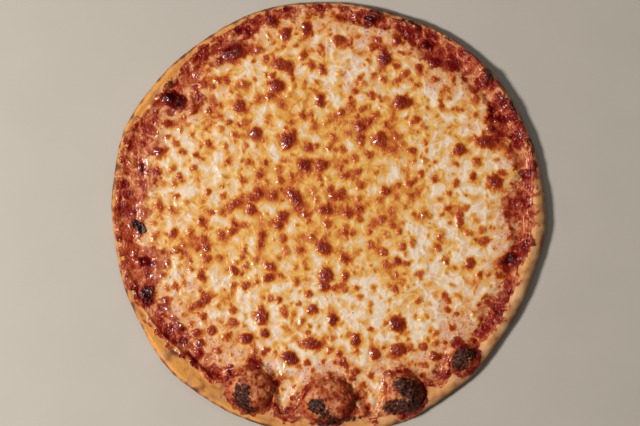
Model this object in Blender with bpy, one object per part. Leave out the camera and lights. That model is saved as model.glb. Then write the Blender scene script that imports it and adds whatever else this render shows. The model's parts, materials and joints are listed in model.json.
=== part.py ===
"""A whole cheese pizza: a dough base with its risen rim, the sauce spread on it and the melted cheese.

Blender 4.5. Run it with blender --background --python part.py, or from Blender's Text Editor.
Sizes are in millimetres and angles in degrees, counterclockwise from +X as the pizza is seen from above.
add_solid turns the points into Blender's metres. The underside lies on Z = 0.
"""

import math
import random

import bmesh
import bpy
import numpy as np
from mathutils import Vector
from mathutils.geometry import delaunay_2d_cdt

MM = 0.001
TRIANGLES_INSIDE = 1  # the kind of result asked of delaunay_2d_cdt
NO_MERGING = 1e-6

# Driving sizes: a fourteen inch pizza, and the height of each layer's top above the table.
ACROSS = 356.0
BASE_TOP = 4.6
LAYER_GAP = 0.3
SAUCE_BOTTOM = BASE_TOP + LAYER_GAP
SAUCE_TOP = SAUCE_BOTTOM + 1.0
CHEESE_BOTTOM = SAUCE_TOP + LAYER_GAP
CHEESE_THICK = 2.3
CHEESE_LIP = 0.7

# Stations around the rim: the angle, how far the edge bulges out of a true circle, the width of bare dough,
# its height, and how much sauce shows between the dough and the cheese.
BULGE, BARE_WIDTH, RIM_HEIGHT, SAUCE_WIDTH = 1, 2, 3, 4
RIM_STATIONS = (
    (0, 2.0, 14.0, 13.0, 9.0),
    (18, 1.4, 5.0, 10.5, 10.0),
    (38, 2.6, 8.0, 12.0, 9.0),
    (52, 1.2, 4.0, 9.0, 12.0),
    (70, -1.6, 6.5, 9.5, 8.0),
    (90, -2.2, 3.5, 8.5, 3.0),
    (105, 0.0, 5.5, 9.0, 5.0),
    (125, -0.8, 6.5, 9.5, 9.0),
    (142, 1.2, 9.0, 10.5, 12.0),
    (157, 2.7, 5.5, 9.5, 14.0),
    (172, 0.0, 4.5, 9.0, 15.0),
    (188, -2.5, 3.5, 8.5, 15.0),
    (205, -1.6, 6.0, 9.5, 13.0),
    (228, 2.6, 17.0, 13.5, 9.0),
    (250, 1.2, 8.0, 10.5, 4.0),
    (270, 1.5, 8.0, 10.0, 3.0),
    (290, 1.6, 9.0, 10.5, 3.0),
    (310, -1.2, 11.5, 12.0, 5.0),
    (325, -3.3, 11.5, 12.5, 7.0),
    (342, -1.9, 12.5, 13.0, 8.0),
)

# Great bubbles in the dough just inside the rim: x, y, length, width, turn, and the height of the top.
BUBBLES = (
    (-62, -141, 42, 40, -24, 20.0),
    (1, -150, 49, 40, 0, 21.0),
    (63, -144, 36, 41, 24, 20.0),
    (112, -116, 27, 25, 44, 15.5),
)

# Small bubbles that burnt on the rim: x, y, length, width, turn, and how far each stands up.
BURNT_BUBBLES = (
    (40, 164, 14, 10, -10, 3.0),
    (69, 156, 19, 10, -24, 3.2),
    (130, 114, 14, 12, -45, 2.6),
    (161, 59, 12, 8, -70, 2.2),
    (-24, 156, 17, 15, 0, 3.0),
    (-131, 107, 12, 7, 45, 1.8),
)

# The largest blisters of browned cheese: x, y, length, width, turn.
MIDDLE_BLISTERS = (
    (9, 16, 14, 8, -10),
    (-1, 6, 10, 9, -10),
    (-18, 42, 12, 10, 15),
    (-31, 62, 16, 11, 60),
    (-25, 15, 18, 10, -48),
    (-36, 0, 12, 9, 35),
    (-2, -26, 12, 12, 0),
    (0, -48, 14, 12, 90),
)
HALFWAY_BLISTERS = (
    (109, 55, 12, 10, 0),
    (44, 63, 13, 12, 90),
    (62, 94, 16, 12, -10),
    (-6, 95, 12, 9, 90),
    (-41, 107, 13, 12, -40),
    (-72, 90, 11, 11, 0),
    (-58, 69, 11, 10, 0),
    (-75, 10, 13, 8, 40),
    (-102, -70, 25, 6, 26),
    (-66, -99, 12, 9, 10),
    (-53, -83, 15, 12, 90),
    (-30, -116, 14, 12, -30),
    (-13, -104, 18, 10, -8),
    (5, -85, 13, 8, 90),
    (24, -101, 11, 7, 80),
    (39, -113, 12, 10, 80),
    (59, -109, 13, 12, 90),
    (58, -89, 14, 12, -60),
    (109, -2, 17, 7, 90),
)
OUTER_BLISTERS = (
    (138, 29, 16, 11, -45),
    (131, 61, 21, 12, -5),
    (90, 127, 11, 8, 10),
    (83, 141, 11, 10, 0),
    (48, 131, 16, 11, -80),
    (9, 145, 11, 10, -30),
    (-44, 160, 12, 11, 0),
    (-37, 125, 14, 12, 10),
    (-75, 135, 23, 14, 0),
    (-125, 96, 21, 15, -28),
    (-152, 40, 12, 7, 90),
    (-150, -36, 11, 9, 0),
    (-147, -64, 20, 14, 80),
    (148, -35, 21, 9, 22),
)
BLISTER_RISE = 0.14  # of a blister's width
BLISTER_PLUMPNESS = 6.0

# Smaller blisters, scattered by rule.
SMALL_BLISTERS = 150
SMALL_LENGTH = (4.5, 8.5)
SMALL_SHARE = (0.6, 1.0)  # width over length
SMALL_CLEAR = 2.5
SCATTER_SEED = 11

# Uneven waves round the pizza: seed, lobes to the turn and size. Then lumps and swells of the surfaces.
EDGE_WAVES = (3, (7, 11, 16), 0.35)
TOPPING_WAVES = (5, (13, 19, 27), 0.4)
SAUCE_WAVES = (8, (13, 19, 26), 0.3)
RIM_WAVES = (21, (23, 31, 41), 0.3)
BUBBLE_LUMPS = 0.06
SAUCE_LUMPS = 0.35
CHEESE_LUMPS = 0.35
CHEESE_SWELLS = 0.25

# How finely each solid is faceted: the points on each closed line, and the spacing between lines.
LINE_POINTS = 180
CHEESE_SPACING = 6.7
RIM_SPACING = 3.9
SAUCE_SPACING = 5.2
RIM_SEED, SAUCE_SEED, CHEESE_SEED = 31, 32, 33
LARGE_RINGS = ((0.0, 1), (0.66, 7), (1.03, 10))  # share of the blister's size, and the points round it
SMALL_RINGS = ((0.0, 1), (1.03, 7))
SHARP_ANGLE = math.radians(50)

# The section of the rim's outer side.
TURN_UNDER = 4.0
WIDEST_AT = 0.42  # of the rim's height
CROWN_SHARE = 0.5  # of the bare width, from the edge in to the highest line
CROWN_LIMITS = (1.4, 6.0)
SLOPE_SHARE = 0.5  # a line of points runs this far down the rim's inner slope
SIDE_ANGLES = (50, 25, 0, -45, -90)  # round the section: 90 on top, 0 at its widest, -90 underneath

# Where one layer ends beside the next.
SIDE_GAP = 0.4
SHELF_MARGIN = 0.6  # the sauce stays flat this far out from under the cheese
UNDERCUT = 0.2
SAUCE_ROUNDING = 0.5
CHEESE_ROUNDING = 0.7
SAUCE_LIP = 1.5
SAUCE_CLIMB = 1.0  # how far the sauce rises against the rim, over SAUCE_CLIMB_WIDTH
SAUCE_CLIMB_WIDTH = 7.0
FOOT_WIDTH = 1.4
CHEESE_EDGE_WIDTH = 5.0
LEAST_SAUCE = 2.6


def around(angles, column):
    """One column of the rim's stations at any angles, eased from each station to the next."""
    places = np.array([row[0] for row in RIM_STATIONS] + [RIM_STATIONS[0][0] + 360.0])
    values = np.array([row[column] for row in RIM_STATIONS] + [RIM_STATIONS[0][column]])
    angles = np.mod(angles, 360.0)
    after = np.clip(np.searchsorted(places, angles, side="right"), 1, len(places) - 1)
    share = (angles - places[after - 1]) / (places[after] - places[after - 1])
    return values[after - 1] + (values[after] - values[after - 1]) * smooth(share)


def smooth(share):
    """A step from 0 to 1 that starts and ends level."""
    share = np.clip(share, 0.0, 1.0)
    return share * share * (3.0 - 2.0 * share)


def wobble(angles, seed, lobes, size):
    """An uneven wave round the pizza: the sum of a few waves, each with that many lobes to the turn."""
    draw = random.Random(seed)
    total = np.zeros_like(angles, dtype=float)
    for lobe in lobes:
        phase = draw.uniform(0.0, 2.0 * math.pi)
        total += np.sin(np.radians(angles) * lobe + phase)
    return size * total / math.sqrt(len(lobes))


def outline_radius(angles):
    return ACROSS / 2 + around(angles, BULGE) + wobble(angles, *EDGE_WAVES)


def bubble_notch(angles):
    """How far the great bubbles push the toppings in from the rim, at each angle."""
    notch = np.zeros_like(angles, dtype=float)
    for x, y, length, width, _, _ in BUBBLES:
        away = math.hypot(x, y)
        half = math.degrees(math.asin(0.5 * length / away))
        off = (angles - math.degrees(math.atan2(y, x)) + 180.0) % 360.0 - 180.0
        inner = away - width / 2
        depth = outline_radius(angles) - around(angles, BARE_WIDTH) - inner
        notch = np.maximum(notch, depth * np.clip(1.0 - (off / half) ** 2, 0.0, 1.0) ** 0.45)
    return notch


def topping_radius(angles):
    uneven = wobble(angles, *TOPPING_WAVES)
    return outline_radius(angles) - around(angles, BARE_WIDTH) - bubble_notch(angles) + uneven


def sauce_shown(angles):
    """The width of the band of sauce outside the cheese: uneven, and narrow beside the great bubbles."""
    near_bubble = np.clip(bubble_notch(angles) / 12.0, 0.0, 1.0)
    width = around(angles, SAUCE_WIDTH) * (1.0 - near_bubble) + LEAST_SAUCE * near_bubble
    return np.maximum(LEAST_SAUCE, width * (1.0 + wobble(angles, *SAUCE_WAVES)))


def line_round(radius):
    """A closed line of points round the pizza, at a radius that depends on the angle."""
    away = radius(ANGLES)
    return np.column_stack([away * np.cos(np.radians(ANGLES)), away * np.sin(np.radians(ANGLES))])


def moved_in(line, distance):
    """The closed line moved inwards, square to itself, by one distance or by one for each point."""
    along = np.roll(line, -1, axis=0) - np.roll(line, 1, axis=0)
    along /= np.linalg.norm(along, axis=1, keepdims=True)
    inward = np.column_stack([-along[:, 1], along[:, 0]])
    return line + inward * np.reshape(distance, (-1, 1))


def eased(line):
    """The closed line with each point moved towards its neighbours, which rounds its tight corners."""
    return (np.roll(line, -1, axis=0) + 2.0 * line + np.roll(line, 1, axis=0)) / 4.0


def distance_to(line, points):
    """The distance from each point to the nearest place on a closed line."""
    start = line[None, :, :]
    side = np.roll(line, -1, axis=0)[None, :, :] - start
    offset = points[:, None, :] - start
    share = np.clip((offset * side).sum(2) / (side * side).sum(2), 0.0, 1.0)
    return np.linalg.norm(offset - side * share[:, :, None], axis=2).min(1)


def within(line, points):
    """Whether each point lies inside a closed line, by counting the sides that a ray to +X crosses."""
    ahead = np.roll(line, -1, axis=0)
    north = points[:, 1, None]
    spans = (line[None, :, 1] > north) != (ahead[None, :, 1] > north)
    climb = np.where(spans, ahead[None, :, 1] - line[None, :, 1], 1.0)
    crossing = line[None, :, 0] + (north - line[None, :, 1]) * (ahead - line)[None, :, 0] / climb
    return (spans & (points[:, 0, None] < crossing)).sum(1) % 2 == 1


def dome(points, x, y, length, width, turn, plumpness=3.0):
    """1 over the middle of an ellipse and 0 from its edge out. A plump one is flat on top and steep-sided."""
    angle = math.radians(turn)
    east = points[:, 0] - x
    north = points[:, 1] - y
    along = (east * math.cos(angle) + north * math.sin(angle)) / (length / 2)
    across = (north * math.cos(angle) - east * math.sin(angle)) / (width / 2)
    return np.clip(1.0 - np.hypot(along, across) ** plumpness, 0.0, 1.0) ** 0.7


def polar(points):
    """Each point's distance from the middle, and its angle."""
    return np.hypot(points[:, 0], points[:, 1]), np.degrees(np.arctan2(points[:, 1], points[:, 0]))


def scattered(spacing, seed):
    """Points over the whole pizza on an uneven triangular grid."""
    draw = np.random.default_rng(seed)
    reach = ACROSS / 2 + 5.0
    east, north = np.meshgrid(
        np.arange(-reach, reach, spacing),
        np.arange(-reach, reach, spacing * math.sqrt(3) / 2),
    )
    east[1::2] += spacing / 2
    points = np.column_stack([east.ravel(), north.ravel()])
    return points + draw.uniform(-0.2 * spacing, 0.2 * spacing, points.shape)


def clear_of(points, others, distance):
    """The points that stay at least a distance away from all the others."""
    gap = np.linalg.norm(points[:, None, :] - others[None, :, :], axis=2).min(1)
    return points[gap > distance]


def between(points, outer, inner, margin):
    """The points inside one closed line and outside another, clear of both by a margin."""
    points = points[within(outer, points)]
    points = points[distance_to(outer, points) > margin]
    if inner is None:
        return points
    points = points[~within(inner, points)]
    return points[distance_to(inner, points) > margin]


def small_blisters():
    """Places for the smaller blisters, clear of the large ones and of each other."""
    draw = random.Random(SCATTER_SEED)
    placed = [(x, y, length / 2) for x, y, length, _, _ in LARGE_BLISTERS]
    found = []
    while len(found) < SMALL_BLISTERS:
        angle = draw.uniform(0.0, 2.0 * math.pi)
        away = (ACROSS / 2) * math.sqrt(draw.random())
        length = draw.uniform(*SMALL_LENGTH)
        width = length * draw.uniform(*SMALL_SHARE)
        turn = draw.uniform(0.0, 180.0)
        x = away * math.cos(angle)
        y = away * math.sin(angle)
        spot = np.array([(x, y)])
        if not within(CHEESE_EDGE, spot)[0] or distance_to(CHEESE_EDGE, spot)[0] < length:
            continue
        if any(math.hypot(x - u, y - v) < r + length / 2 + SMALL_CLEAR for u, v, r in placed):
            continue
        placed.append((x, y, length / 2))
        found.append((x, y, length, width, turn))
    return found


def blister_points(blisters):
    """The points that each blister's dome needs: its middle, and rings round it out to its foot."""
    points = []
    for x, y, length, width, turn in blisters:
        rings = LARGE_RINGS if length > SMALL_LENGTH[1] else SMALL_RINGS
        way = math.radians(turn)
        for reach, count in rings:
            for step in range(count):
                angle = 2.0 * math.pi * (step + reach) / count
                along = 0.5 * length * reach * math.cos(angle)
                across = 0.5 * width * reach * math.sin(angle)
                east = x + along * math.cos(way) - across * math.sin(way)
                north = y + along * math.sin(way) + across * math.cos(way)
                points.append((east, north))
    return np.array(points)


def blister_rise(points, blisters):
    rise = np.zeros(len(points))
    for x, y, length, width, turn in blisters:
        swell = dome(points, x, y, length, width, turn, BLISTER_PLUMPNESS)
        rise = np.maximum(rise, BLISTER_RISE * width * swell)
    return rise


def soft_waves(points, size):
    """Slow uneven waves over the whole pizza, within about 1 either way."""
    east, north = points[:, 0] / size, points[:, 1] / size
    first = np.sin(east + 1.7 * np.sin(0.6 * north + 0.4)) * np.cos(0.9 * north - 0.8)
    second = np.sin(1.7 * north - 0.9 * east + 1.2) * np.cos(1.3 * east + 0.5 * north)
    return 0.6 * first + 0.4 * second


def filled(line, points, kept_lines=()):
    """Triangles that fill a closed line through the points inside it. None of them crosses a kept line."""
    flat = np.vstack([line, points, *kept_lines])
    edges = []
    first = len(line) + len(points)
    for kept in kept_lines:
        edges += [(first + i, first + (i + 1) % len(kept)) for i in range(len(kept))]
        first += len(kept)
    corners = [Vector(p) for p in flat]
    face = list(range(len(line)))
    found, _, faces, came_from, _, _ = delaunay_2d_cdt(corners, edges, [face], TRIANGLES_INSIDE, NO_MERGING)
    if len(found) != len(flat):
        raise ValueError("two points of a surface fall together, or two of its lines cross")
    order = [source[0] for source in came_from]
    return flat, [[order[corner] for corner in face] for face in faces]


def at_height(line, height):
    return np.column_stack([line, np.broadcast_to(height, len(line))])


def middle_points():
    """A middle point and a ring round it, so that a flat layer's triangles don't run right across it."""
    ring = np.radians(np.arange(0.0, 360.0, 15.0))
    return np.vstack([(0.0, 0.0), ACROSS / 4 * np.column_stack([np.cos(ring), np.sin(ring)])])


def add_solid(name, top, faces, rings, surface):
    """Adds a closed solid from its top, whose first points are its edge, and the rings down its side."""
    mesh_maker = bmesh.new()

    def corners(points):
        return [mesh_maker.verts.new(p * MM) for p in points - MIDDLE]

    upper = corners(top)
    for face in faces:
        mesh_maker.faces.new([upper[i] for i in face])
    above = upper[:LINE_POINTS]
    for ring in rings:
        below = corners(ring)
        for i in range(LINE_POINTS):
            j = (i + 1) % LINE_POINTS
            mesh_maker.faces.new((above[i], below[i], below[j]))
            mesh_maker.faces.new((above[i], below[j], above[j]))
        above = below
    flat, base_faces = filled(rings[-1][:, :2], middle_points())
    base = above + corners(at_height(flat[LINE_POINTS:], rings[-1][0, 2]))
    for face in base_faces:
        mesh_maker.faces.new([base[i] for i in reversed(face)])
    mesh = bpy.data.meshes.new(name)
    mesh_maker.to_mesh(mesh)
    mesh_maker.free()
    mesh.shade_smooth()
    mesh.set_sharp_from_angle(angle=SHARP_ANGLE)
    mesh.materials.append(surface)
    bpy.context.scene.collection.objects.link(bpy.data.objects.new(name, mesh))


def new_material(name, colour, roughness):
    made = bpy.data.materials.new(name)
    made.use_nodes = True
    surface = made.node_tree.nodes["Principled BSDF"]
    surface.inputs["Base Color"].default_value = (*colour, 1.0)
    surface.inputs["Roughness"].default_value = roughness
    surface.inputs["Metallic"].default_value = 0.0
    return made


def crown_distance(angles):
    """How far in from the edge the rim is highest."""
    return np.clip(CROWN_SHARE * around(angles, BARE_WIDTH), *CROWN_LIMITS)


def rim_top(angles):
    return around(angles, RIM_HEIGHT) + wobble(angles, *RIM_WAVES)


def crust_height(points):
    """The height of the bare dough: the rounded rim, its small lumps, and the great and the burnt bubbles."""
    away, angles = polar(points)
    inward = outline_radius(angles) - away
    crown = crown_distance(angles)
    top = rim_top(angles)
    widest = WIDEST_AT * top
    outer = widest + (top - widest) * np.sqrt(np.clip(1.0 - (1.0 - inward / crown) ** 2, 0.0, 1.0))
    fall = smooth((inward - crown) / np.maximum(around(angles, BARE_WIDTH) - crown, 1.0))
    height = np.where(inward < crown, outer, BASE_TOP + (top - BASE_TOP) * (1.0 - fall))
    for x, y, length, width, turn, stands in BURNT_BUBBLES:
        height = height + stands * dome(points, x, y, length, width, turn)
    lumps = 1.0 + BUBBLE_LUMPS * soft_waves(points, 4.0)
    for x, y, length, width, turn, bubble_top in BUBBLES:
        risen = (bubble_top - BASE_TOP) * dome(points, x, y, length, width, turn)
        height = np.maximum(height, BASE_TOP + risen * lumps)
    return height


def rim_ring(elevation):
    """A ring down the rim's outer side, by the angle round its section: 0 at its widest, -90 underneath."""
    turn = math.radians(elevation)
    top = rim_top(ANGLES)
    widest = WIDEST_AT * top
    if elevation >= 0:
        inward = crown_distance(ANGLES) * (1.0 - math.cos(turn))
        height = widest + (top - widest) * math.sin(turn)
    else:
        inward = np.full(LINE_POINTS, TURN_UNDER * (1.0 - math.cos(turn)))
        height = widest * (1.0 + math.sin(turn))
    return at_height(line_round(lambda angles: outline_radius(angles) - inward), height)


def rim_line(share):
    """A line along the rim's top: the highest for 0, and part of the way down its inner slope for more."""

    def radius(angles):
        crown = crown_distance(angles)
        return outline_radius(angles) - crown - share * (around(angles, BARE_WIDTH) - crown)

    return line_round(radius)


def make_crust():
    edge = rim_ring(SIDE_ANGLES[0])
    lines = [rim_line(0.0), rim_line(SLOPE_SHARE)]
    grid = between(scattered(RIM_SPACING, RIM_SEED), edge[:, :2], TOPPINGS_EDGE, 0.4 * RIM_SPACING)
    grid = clear_of(grid, np.vstack(lines), 0.6 * RIM_SPACING)
    flat, faces = filled(edge[:, :2], np.vstack([grid, middle_points()]), (*lines, TOPPINGS_EDGE))
    step = smooth(distance_to(TOPPINGS_EDGE, flat) / FOOT_WIDTH)
    bare = ~within(TOPPINGS_EDGE, flat)
    bare[-LINE_POINTS:] = False
    height = np.where(bare, BASE_TOP + (crust_height(flat) - BASE_TOP) * step, BASE_TOP)
    height[:LINE_POINTS] = crust_height(edge[:, :2])
    rings = [rim_ring(elevation) for elevation in SIDE_ANGLES[1:]]
    dough = new_material("baked_dough", (0.62, 0.36, 0.14), 0.75)
    add_solid("crust", at_height(flat, height), faces, rings, dough)


def make_sauce():
    side = moved_in(TOPPINGS_EDGE, SIDE_GAP)
    edge = moved_in(TOPPINGS_EDGE, SIDE_GAP + SAUCE_ROUNDING)
    shelf = moved_in(CHEESE_EDGE, -SHELF_MARGIN)
    grid = between(scattered(SAUCE_SPACING, SAUCE_SEED), edge, shelf, 0.4 * SAUCE_SPACING)
    lumps = between(blister_points(OUTER_BLISTERS), edge, shelf, 0.8)
    grid = np.vstack([clear_of(grid, lumps, 0.5 * SAUCE_SPACING), lumps])
    flat, faces = filled(edge, np.vstack([grid, middle_points()]), (shelf,))
    bare = ~within(shelf, flat)
    bare[-LINE_POINTS:] = False
    step = smooth(distance_to(shelf, flat) / FOOT_WIDTH) * bare
    waves = SAUCE_LUMPS * (1.0 + soft_waves(flat, 5.0))
    climb = SAUCE_CLIMB * (1.0 - smooth(distance_to(edge, flat) / SAUCE_CLIMB_WIDTH))
    height = SAUCE_TOP + step * (waves + climb + blister_rise(flat, OUTER_BLISTERS))
    height[:LINE_POINTS] = SAUCE_BOTTOM + SAUCE_LIP
    rings = [
        at_height(side, SAUCE_BOTTOM + 0.5 * SAUCE_LIP),
        at_height(moved_in(TOPPINGS_EDGE, SIDE_GAP + UNDERCUT), SAUCE_BOTTOM),
    ]
    tomato = new_material("tomato_sauce", (0.42, 0.05, 0.015), 0.3)
    add_solid("sauce", at_height(flat, height), faces, rings, tomato)


def make_cheese():
    blisters = LARGE_BLISTERS + tuple(small_blisters())
    edge = moved_in(CHEESE_EDGE, CHEESE_ROUNDING)
    domes = between(blister_points(blisters), edge, None, 0.8)
    grid = between(scattered(CHEESE_SPACING, CHEESE_SEED), edge, None, 0.35 * CHEESE_SPACING)
    grid = clear_of(grid, domes, 0.42 * CHEESE_SPACING)
    flat, faces = filled(edge, np.vstack([grid, domes]))
    inner = smooth(distance_to(edge, flat) / CHEESE_EDGE_WIDTH)
    thick = CHEESE_LIP + (CHEESE_THICK - CHEESE_LIP) * inner
    waves = CHEESE_LUMPS * soft_waves(flat, 9.0) + CHEESE_SWELLS * soft_waves(flat, 31.0)
    height = CHEESE_BOTTOM + thick + waves * inner + blister_rise(flat, blisters)
    rings = [
        at_height(CHEESE_EDGE, CHEESE_BOTTOM + 0.5 * CHEESE_LIP),
        at_height(moved_in(CHEESE_EDGE, UNDERCUT), CHEESE_BOTTOM),
    ]
    melted = new_material("melted_cheese", (0.8, 0.52, 0.2), 0.4)
    add_solid("cheese", at_height(flat, height), faces, rings, melted)


def main():
    for old in list(bpy.context.scene.objects):
        bpy.data.objects.remove(old, do_unlink=True)
    make_crust()
    make_sauce()
    make_cheese()


ANGLES = np.arange(LINE_POINTS) * 360.0 / LINE_POINTS
LARGE_BLISTERS = MIDDLE_BLISTERS + HALFWAY_BLISTERS + OUTER_BLISTERS
TOPPINGS_EDGE = eased(eased(line_round(topping_radius)))
CHEESE_EDGE = moved_in(TOPPINGS_EDGE, sauce_shown(ANGLES))
OUTLINE = line_round(outline_radius)
MIDDLE = np.append((OUTLINE.min(0) + OUTLINE.max(0)) / 2, 0.0)

if __name__ == "__main__":
    main()
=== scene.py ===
"""Looks for a whole cheese pizza: browned mozzarella, tomato sauce, and baked dough with burnt bubbles.

Run it as a script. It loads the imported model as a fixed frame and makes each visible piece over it.
Sizes are in millimetres and angles in degrees, counterclockwise from +X as the pizza is seen from above.
Every pattern is worked out from the place in millimetres, so the same run gives the same pizza.
"""

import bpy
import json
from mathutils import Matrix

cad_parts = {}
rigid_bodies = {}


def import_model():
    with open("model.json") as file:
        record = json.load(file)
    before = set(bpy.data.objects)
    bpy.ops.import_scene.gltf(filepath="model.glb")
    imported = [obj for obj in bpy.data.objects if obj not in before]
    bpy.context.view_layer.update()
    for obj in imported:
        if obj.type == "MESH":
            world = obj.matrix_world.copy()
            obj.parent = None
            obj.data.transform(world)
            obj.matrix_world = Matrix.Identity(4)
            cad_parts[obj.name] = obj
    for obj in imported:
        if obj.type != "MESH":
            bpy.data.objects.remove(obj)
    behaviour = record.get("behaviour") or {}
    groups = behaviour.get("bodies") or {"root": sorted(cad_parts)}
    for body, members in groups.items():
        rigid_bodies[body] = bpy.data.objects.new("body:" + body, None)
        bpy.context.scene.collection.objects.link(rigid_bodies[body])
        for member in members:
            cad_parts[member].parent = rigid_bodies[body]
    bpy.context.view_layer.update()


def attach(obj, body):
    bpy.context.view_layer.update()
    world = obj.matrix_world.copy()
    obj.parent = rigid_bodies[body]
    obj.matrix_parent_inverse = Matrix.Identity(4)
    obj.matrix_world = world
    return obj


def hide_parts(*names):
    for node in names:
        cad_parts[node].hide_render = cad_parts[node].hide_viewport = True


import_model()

import json
import math
import random

import bpy
import numpy as np
from bpy.props import FloatProperty, FloatVectorProperty, IntProperty, PointerProperty
from mathutils import Vector

bl_info = {
    "name": "Cheese Pizza",
    "version": (1, 0, 0),
    "blender": (4, 5, 0),
    "location": "3D View > Sidebar > Pizza",
    "description": "Makes a baked cheese pizza from its dough, sauce and cheese",
    "category": "Add Mesh",
}

MM = 0.001
BODY = "root"

# Heights of the layers, as in the solids underneath.
ACROSS = 356.0
BASE_TOP = 4.6
SAUCE_BOTTOM = 4.9
SAUCE_TOP = 5.9
CHEESE_BOTTOM = 6.2
CHEESE_THICK = 2.3
CHEESE_LIP = 0.7

# Stations around the rim: the angle, how far the edge bulges out of a true circle, the width of bare dough,
# its height, how much sauce shows between the dough and the cheese, and how far the toppings run on over the
# dough as a thin film.
BULGE, BARE_WIDTH, RIM_HEIGHT, SAUCE_WIDTH, FILM_WIDTH = 1, 2, 3, 4, 5
RIM_STATIONS = (
    (0, 2.0, 14.0, 13.0, 9.0, 6.0),
    (18, 1.4, 5.0, 10.5, 10.0, 6.0),
    (38, 2.6, 8.0, 12.0, 9.0, 7.0),
    (52, 1.2, 4.0, 9.0, 12.0, 5.0),
    (70, -1.6, 6.5, 9.5, 8.0, 4.5),
    (90, -2.2, 3.5, 8.5, 3.0, 3.4),
    (105, 0.0, 5.5, 9.0, 5.0, 4.0),
    (125, -0.8, 6.5, 9.5, 9.0, 2.6),
    (142, 1.2, 9.0, 10.5, 12.0, -0.6),
    (157, 2.7, 5.5, 9.5, 14.0, 1.4),
    (172, 0.0, 4.5, 9.0, 15.0, 2.4),
    (188, -2.5, 3.5, 8.5, 15.0, 2.8),
    (205, -1.6, 6.0, 9.5, 13.0, 2.4),
    (228, 2.6, 17.0, 13.5, 9.0, 1.5),
    (250, 1.2, 8.0, 10.5, 4.0, 5.0),
    (270, 1.5, 8.0, 10.0, 3.0, 6.0),
    (290, 1.6, 9.0, 10.5, 3.0, 5.5),
    (310, -1.2, 11.5, 12.0, 5.0, 4.5),
    (325, -3.3, 11.5, 12.5, 7.0, 4.2),
    (342, -1.9, 12.5, 13.0, 8.0, 2.2),
)

# Each row of the next lists is an ellipse that starts with x, y, length, width and turn. These are the great
# bubbles in the dough just inside the rim, with the height of each top.
LENGTH, WIDTH = 2, 3
BUBBLES = (
    (-62, -141, 42, 40, -24, 20.0), (1, -150, 49, 40, 0, 21.0), (63, -144, 36, 41, 24, 20.0),
    (112, -116, 27, 25, 44, 15.5),
)

# Small bubbles that burnt on the rim, with how far each stands up.
BURNT_BUBBLES = (
    (40, 164, 14, 10, -10, 3.0), (69, 156, 19, 10, -24, 3.2), (130, 114, 14, 12, -45, 2.6),
    (161, 59, 12, 8, -70, 2.2), (-24, 156, 17, 15, 0, 3.0), (-131, 107, 12, 7, 45, 1.8),
)

# The largest blisters of browned cheese, with how dark each is, up to 1.
BLISTERS = (
    (9, 16, 14, 8, -10, 0.75), (-1, 6, 10, 9, -10, 0.95), (-18, 42, 12, 10, 15, 1.0),
    (-31, 62, 16, 11, 60, 1.0), (-25, 15, 18, 10, -48, 1.0), (-36, 0, 12, 9, 35, 0.9),
    (-2, -26, 12, 12, 0, 0.9), (0, -48, 14, 12, 90, 0.85), (109, 55, 12, 10, 0, 0.85),
    (44, 63, 13, 12, 90, 0.85), (62, 94, 16, 12, -10, 0.85), (-6, 95, 12, 9, 90, 0.85),
    (-41, 107, 13, 12, -40, 0.85), (-72, 90, 11, 11, 0, 0.8), (-58, 69, 11, 10, 0, 0.85),
    (-75, 10, 13, 8, 40, 0.85), (-102, -70, 25, 6, 26, 0.85), (-66, -99, 12, 9, 10, 0.9),
    (-53, -83, 15, 12, 90, 0.75), (-30, -116, 14, 12, -30, 0.95), (-13, -104, 18, 10, -8, 0.85),
    (5, -85, 13, 8, 90, 0.95), (24, -101, 11, 7, 80, 0.9), (39, -113, 12, 10, 80, 0.85),
    (59, -109, 13, 12, 90, 0.85), (58, -89, 14, 12, -60, 0.95), (109, -2, 17, 7, 90, 0.75),
    (138, 29, 16, 11, -45, 0.8), (131, 61, 21, 12, -5, 0.85), (90, 127, 11, 8, 10, 0.9),
    (83, 141, 11, 10, 0, 0.9), (48, 131, 16, 11, -80, 0.95), (9, 145, 11, 10, -30, 0.75),
    (-44, 160, 12, 11, 0, 0.85), (-37, 125, 14, 12, 10, 0.8), (-75, 135, 23, 14, 0, 0.9),
    (-125, 96, 21, 15, -28, 1.0), (-152, 40, 12, 7, 90, 0.9), (-150, -36, 11, 9, 0, 0.9),
    (-147, -64, 20, 14, 80, 0.95), (148, -35, 21, 9, 22, 1.0),
)
OUTER_BLISTERS = BLISTERS[27:]  # these also swell the sauce that shows round the cheese
BLISTER_RISE = 0.14  # of a blister's width

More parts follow.
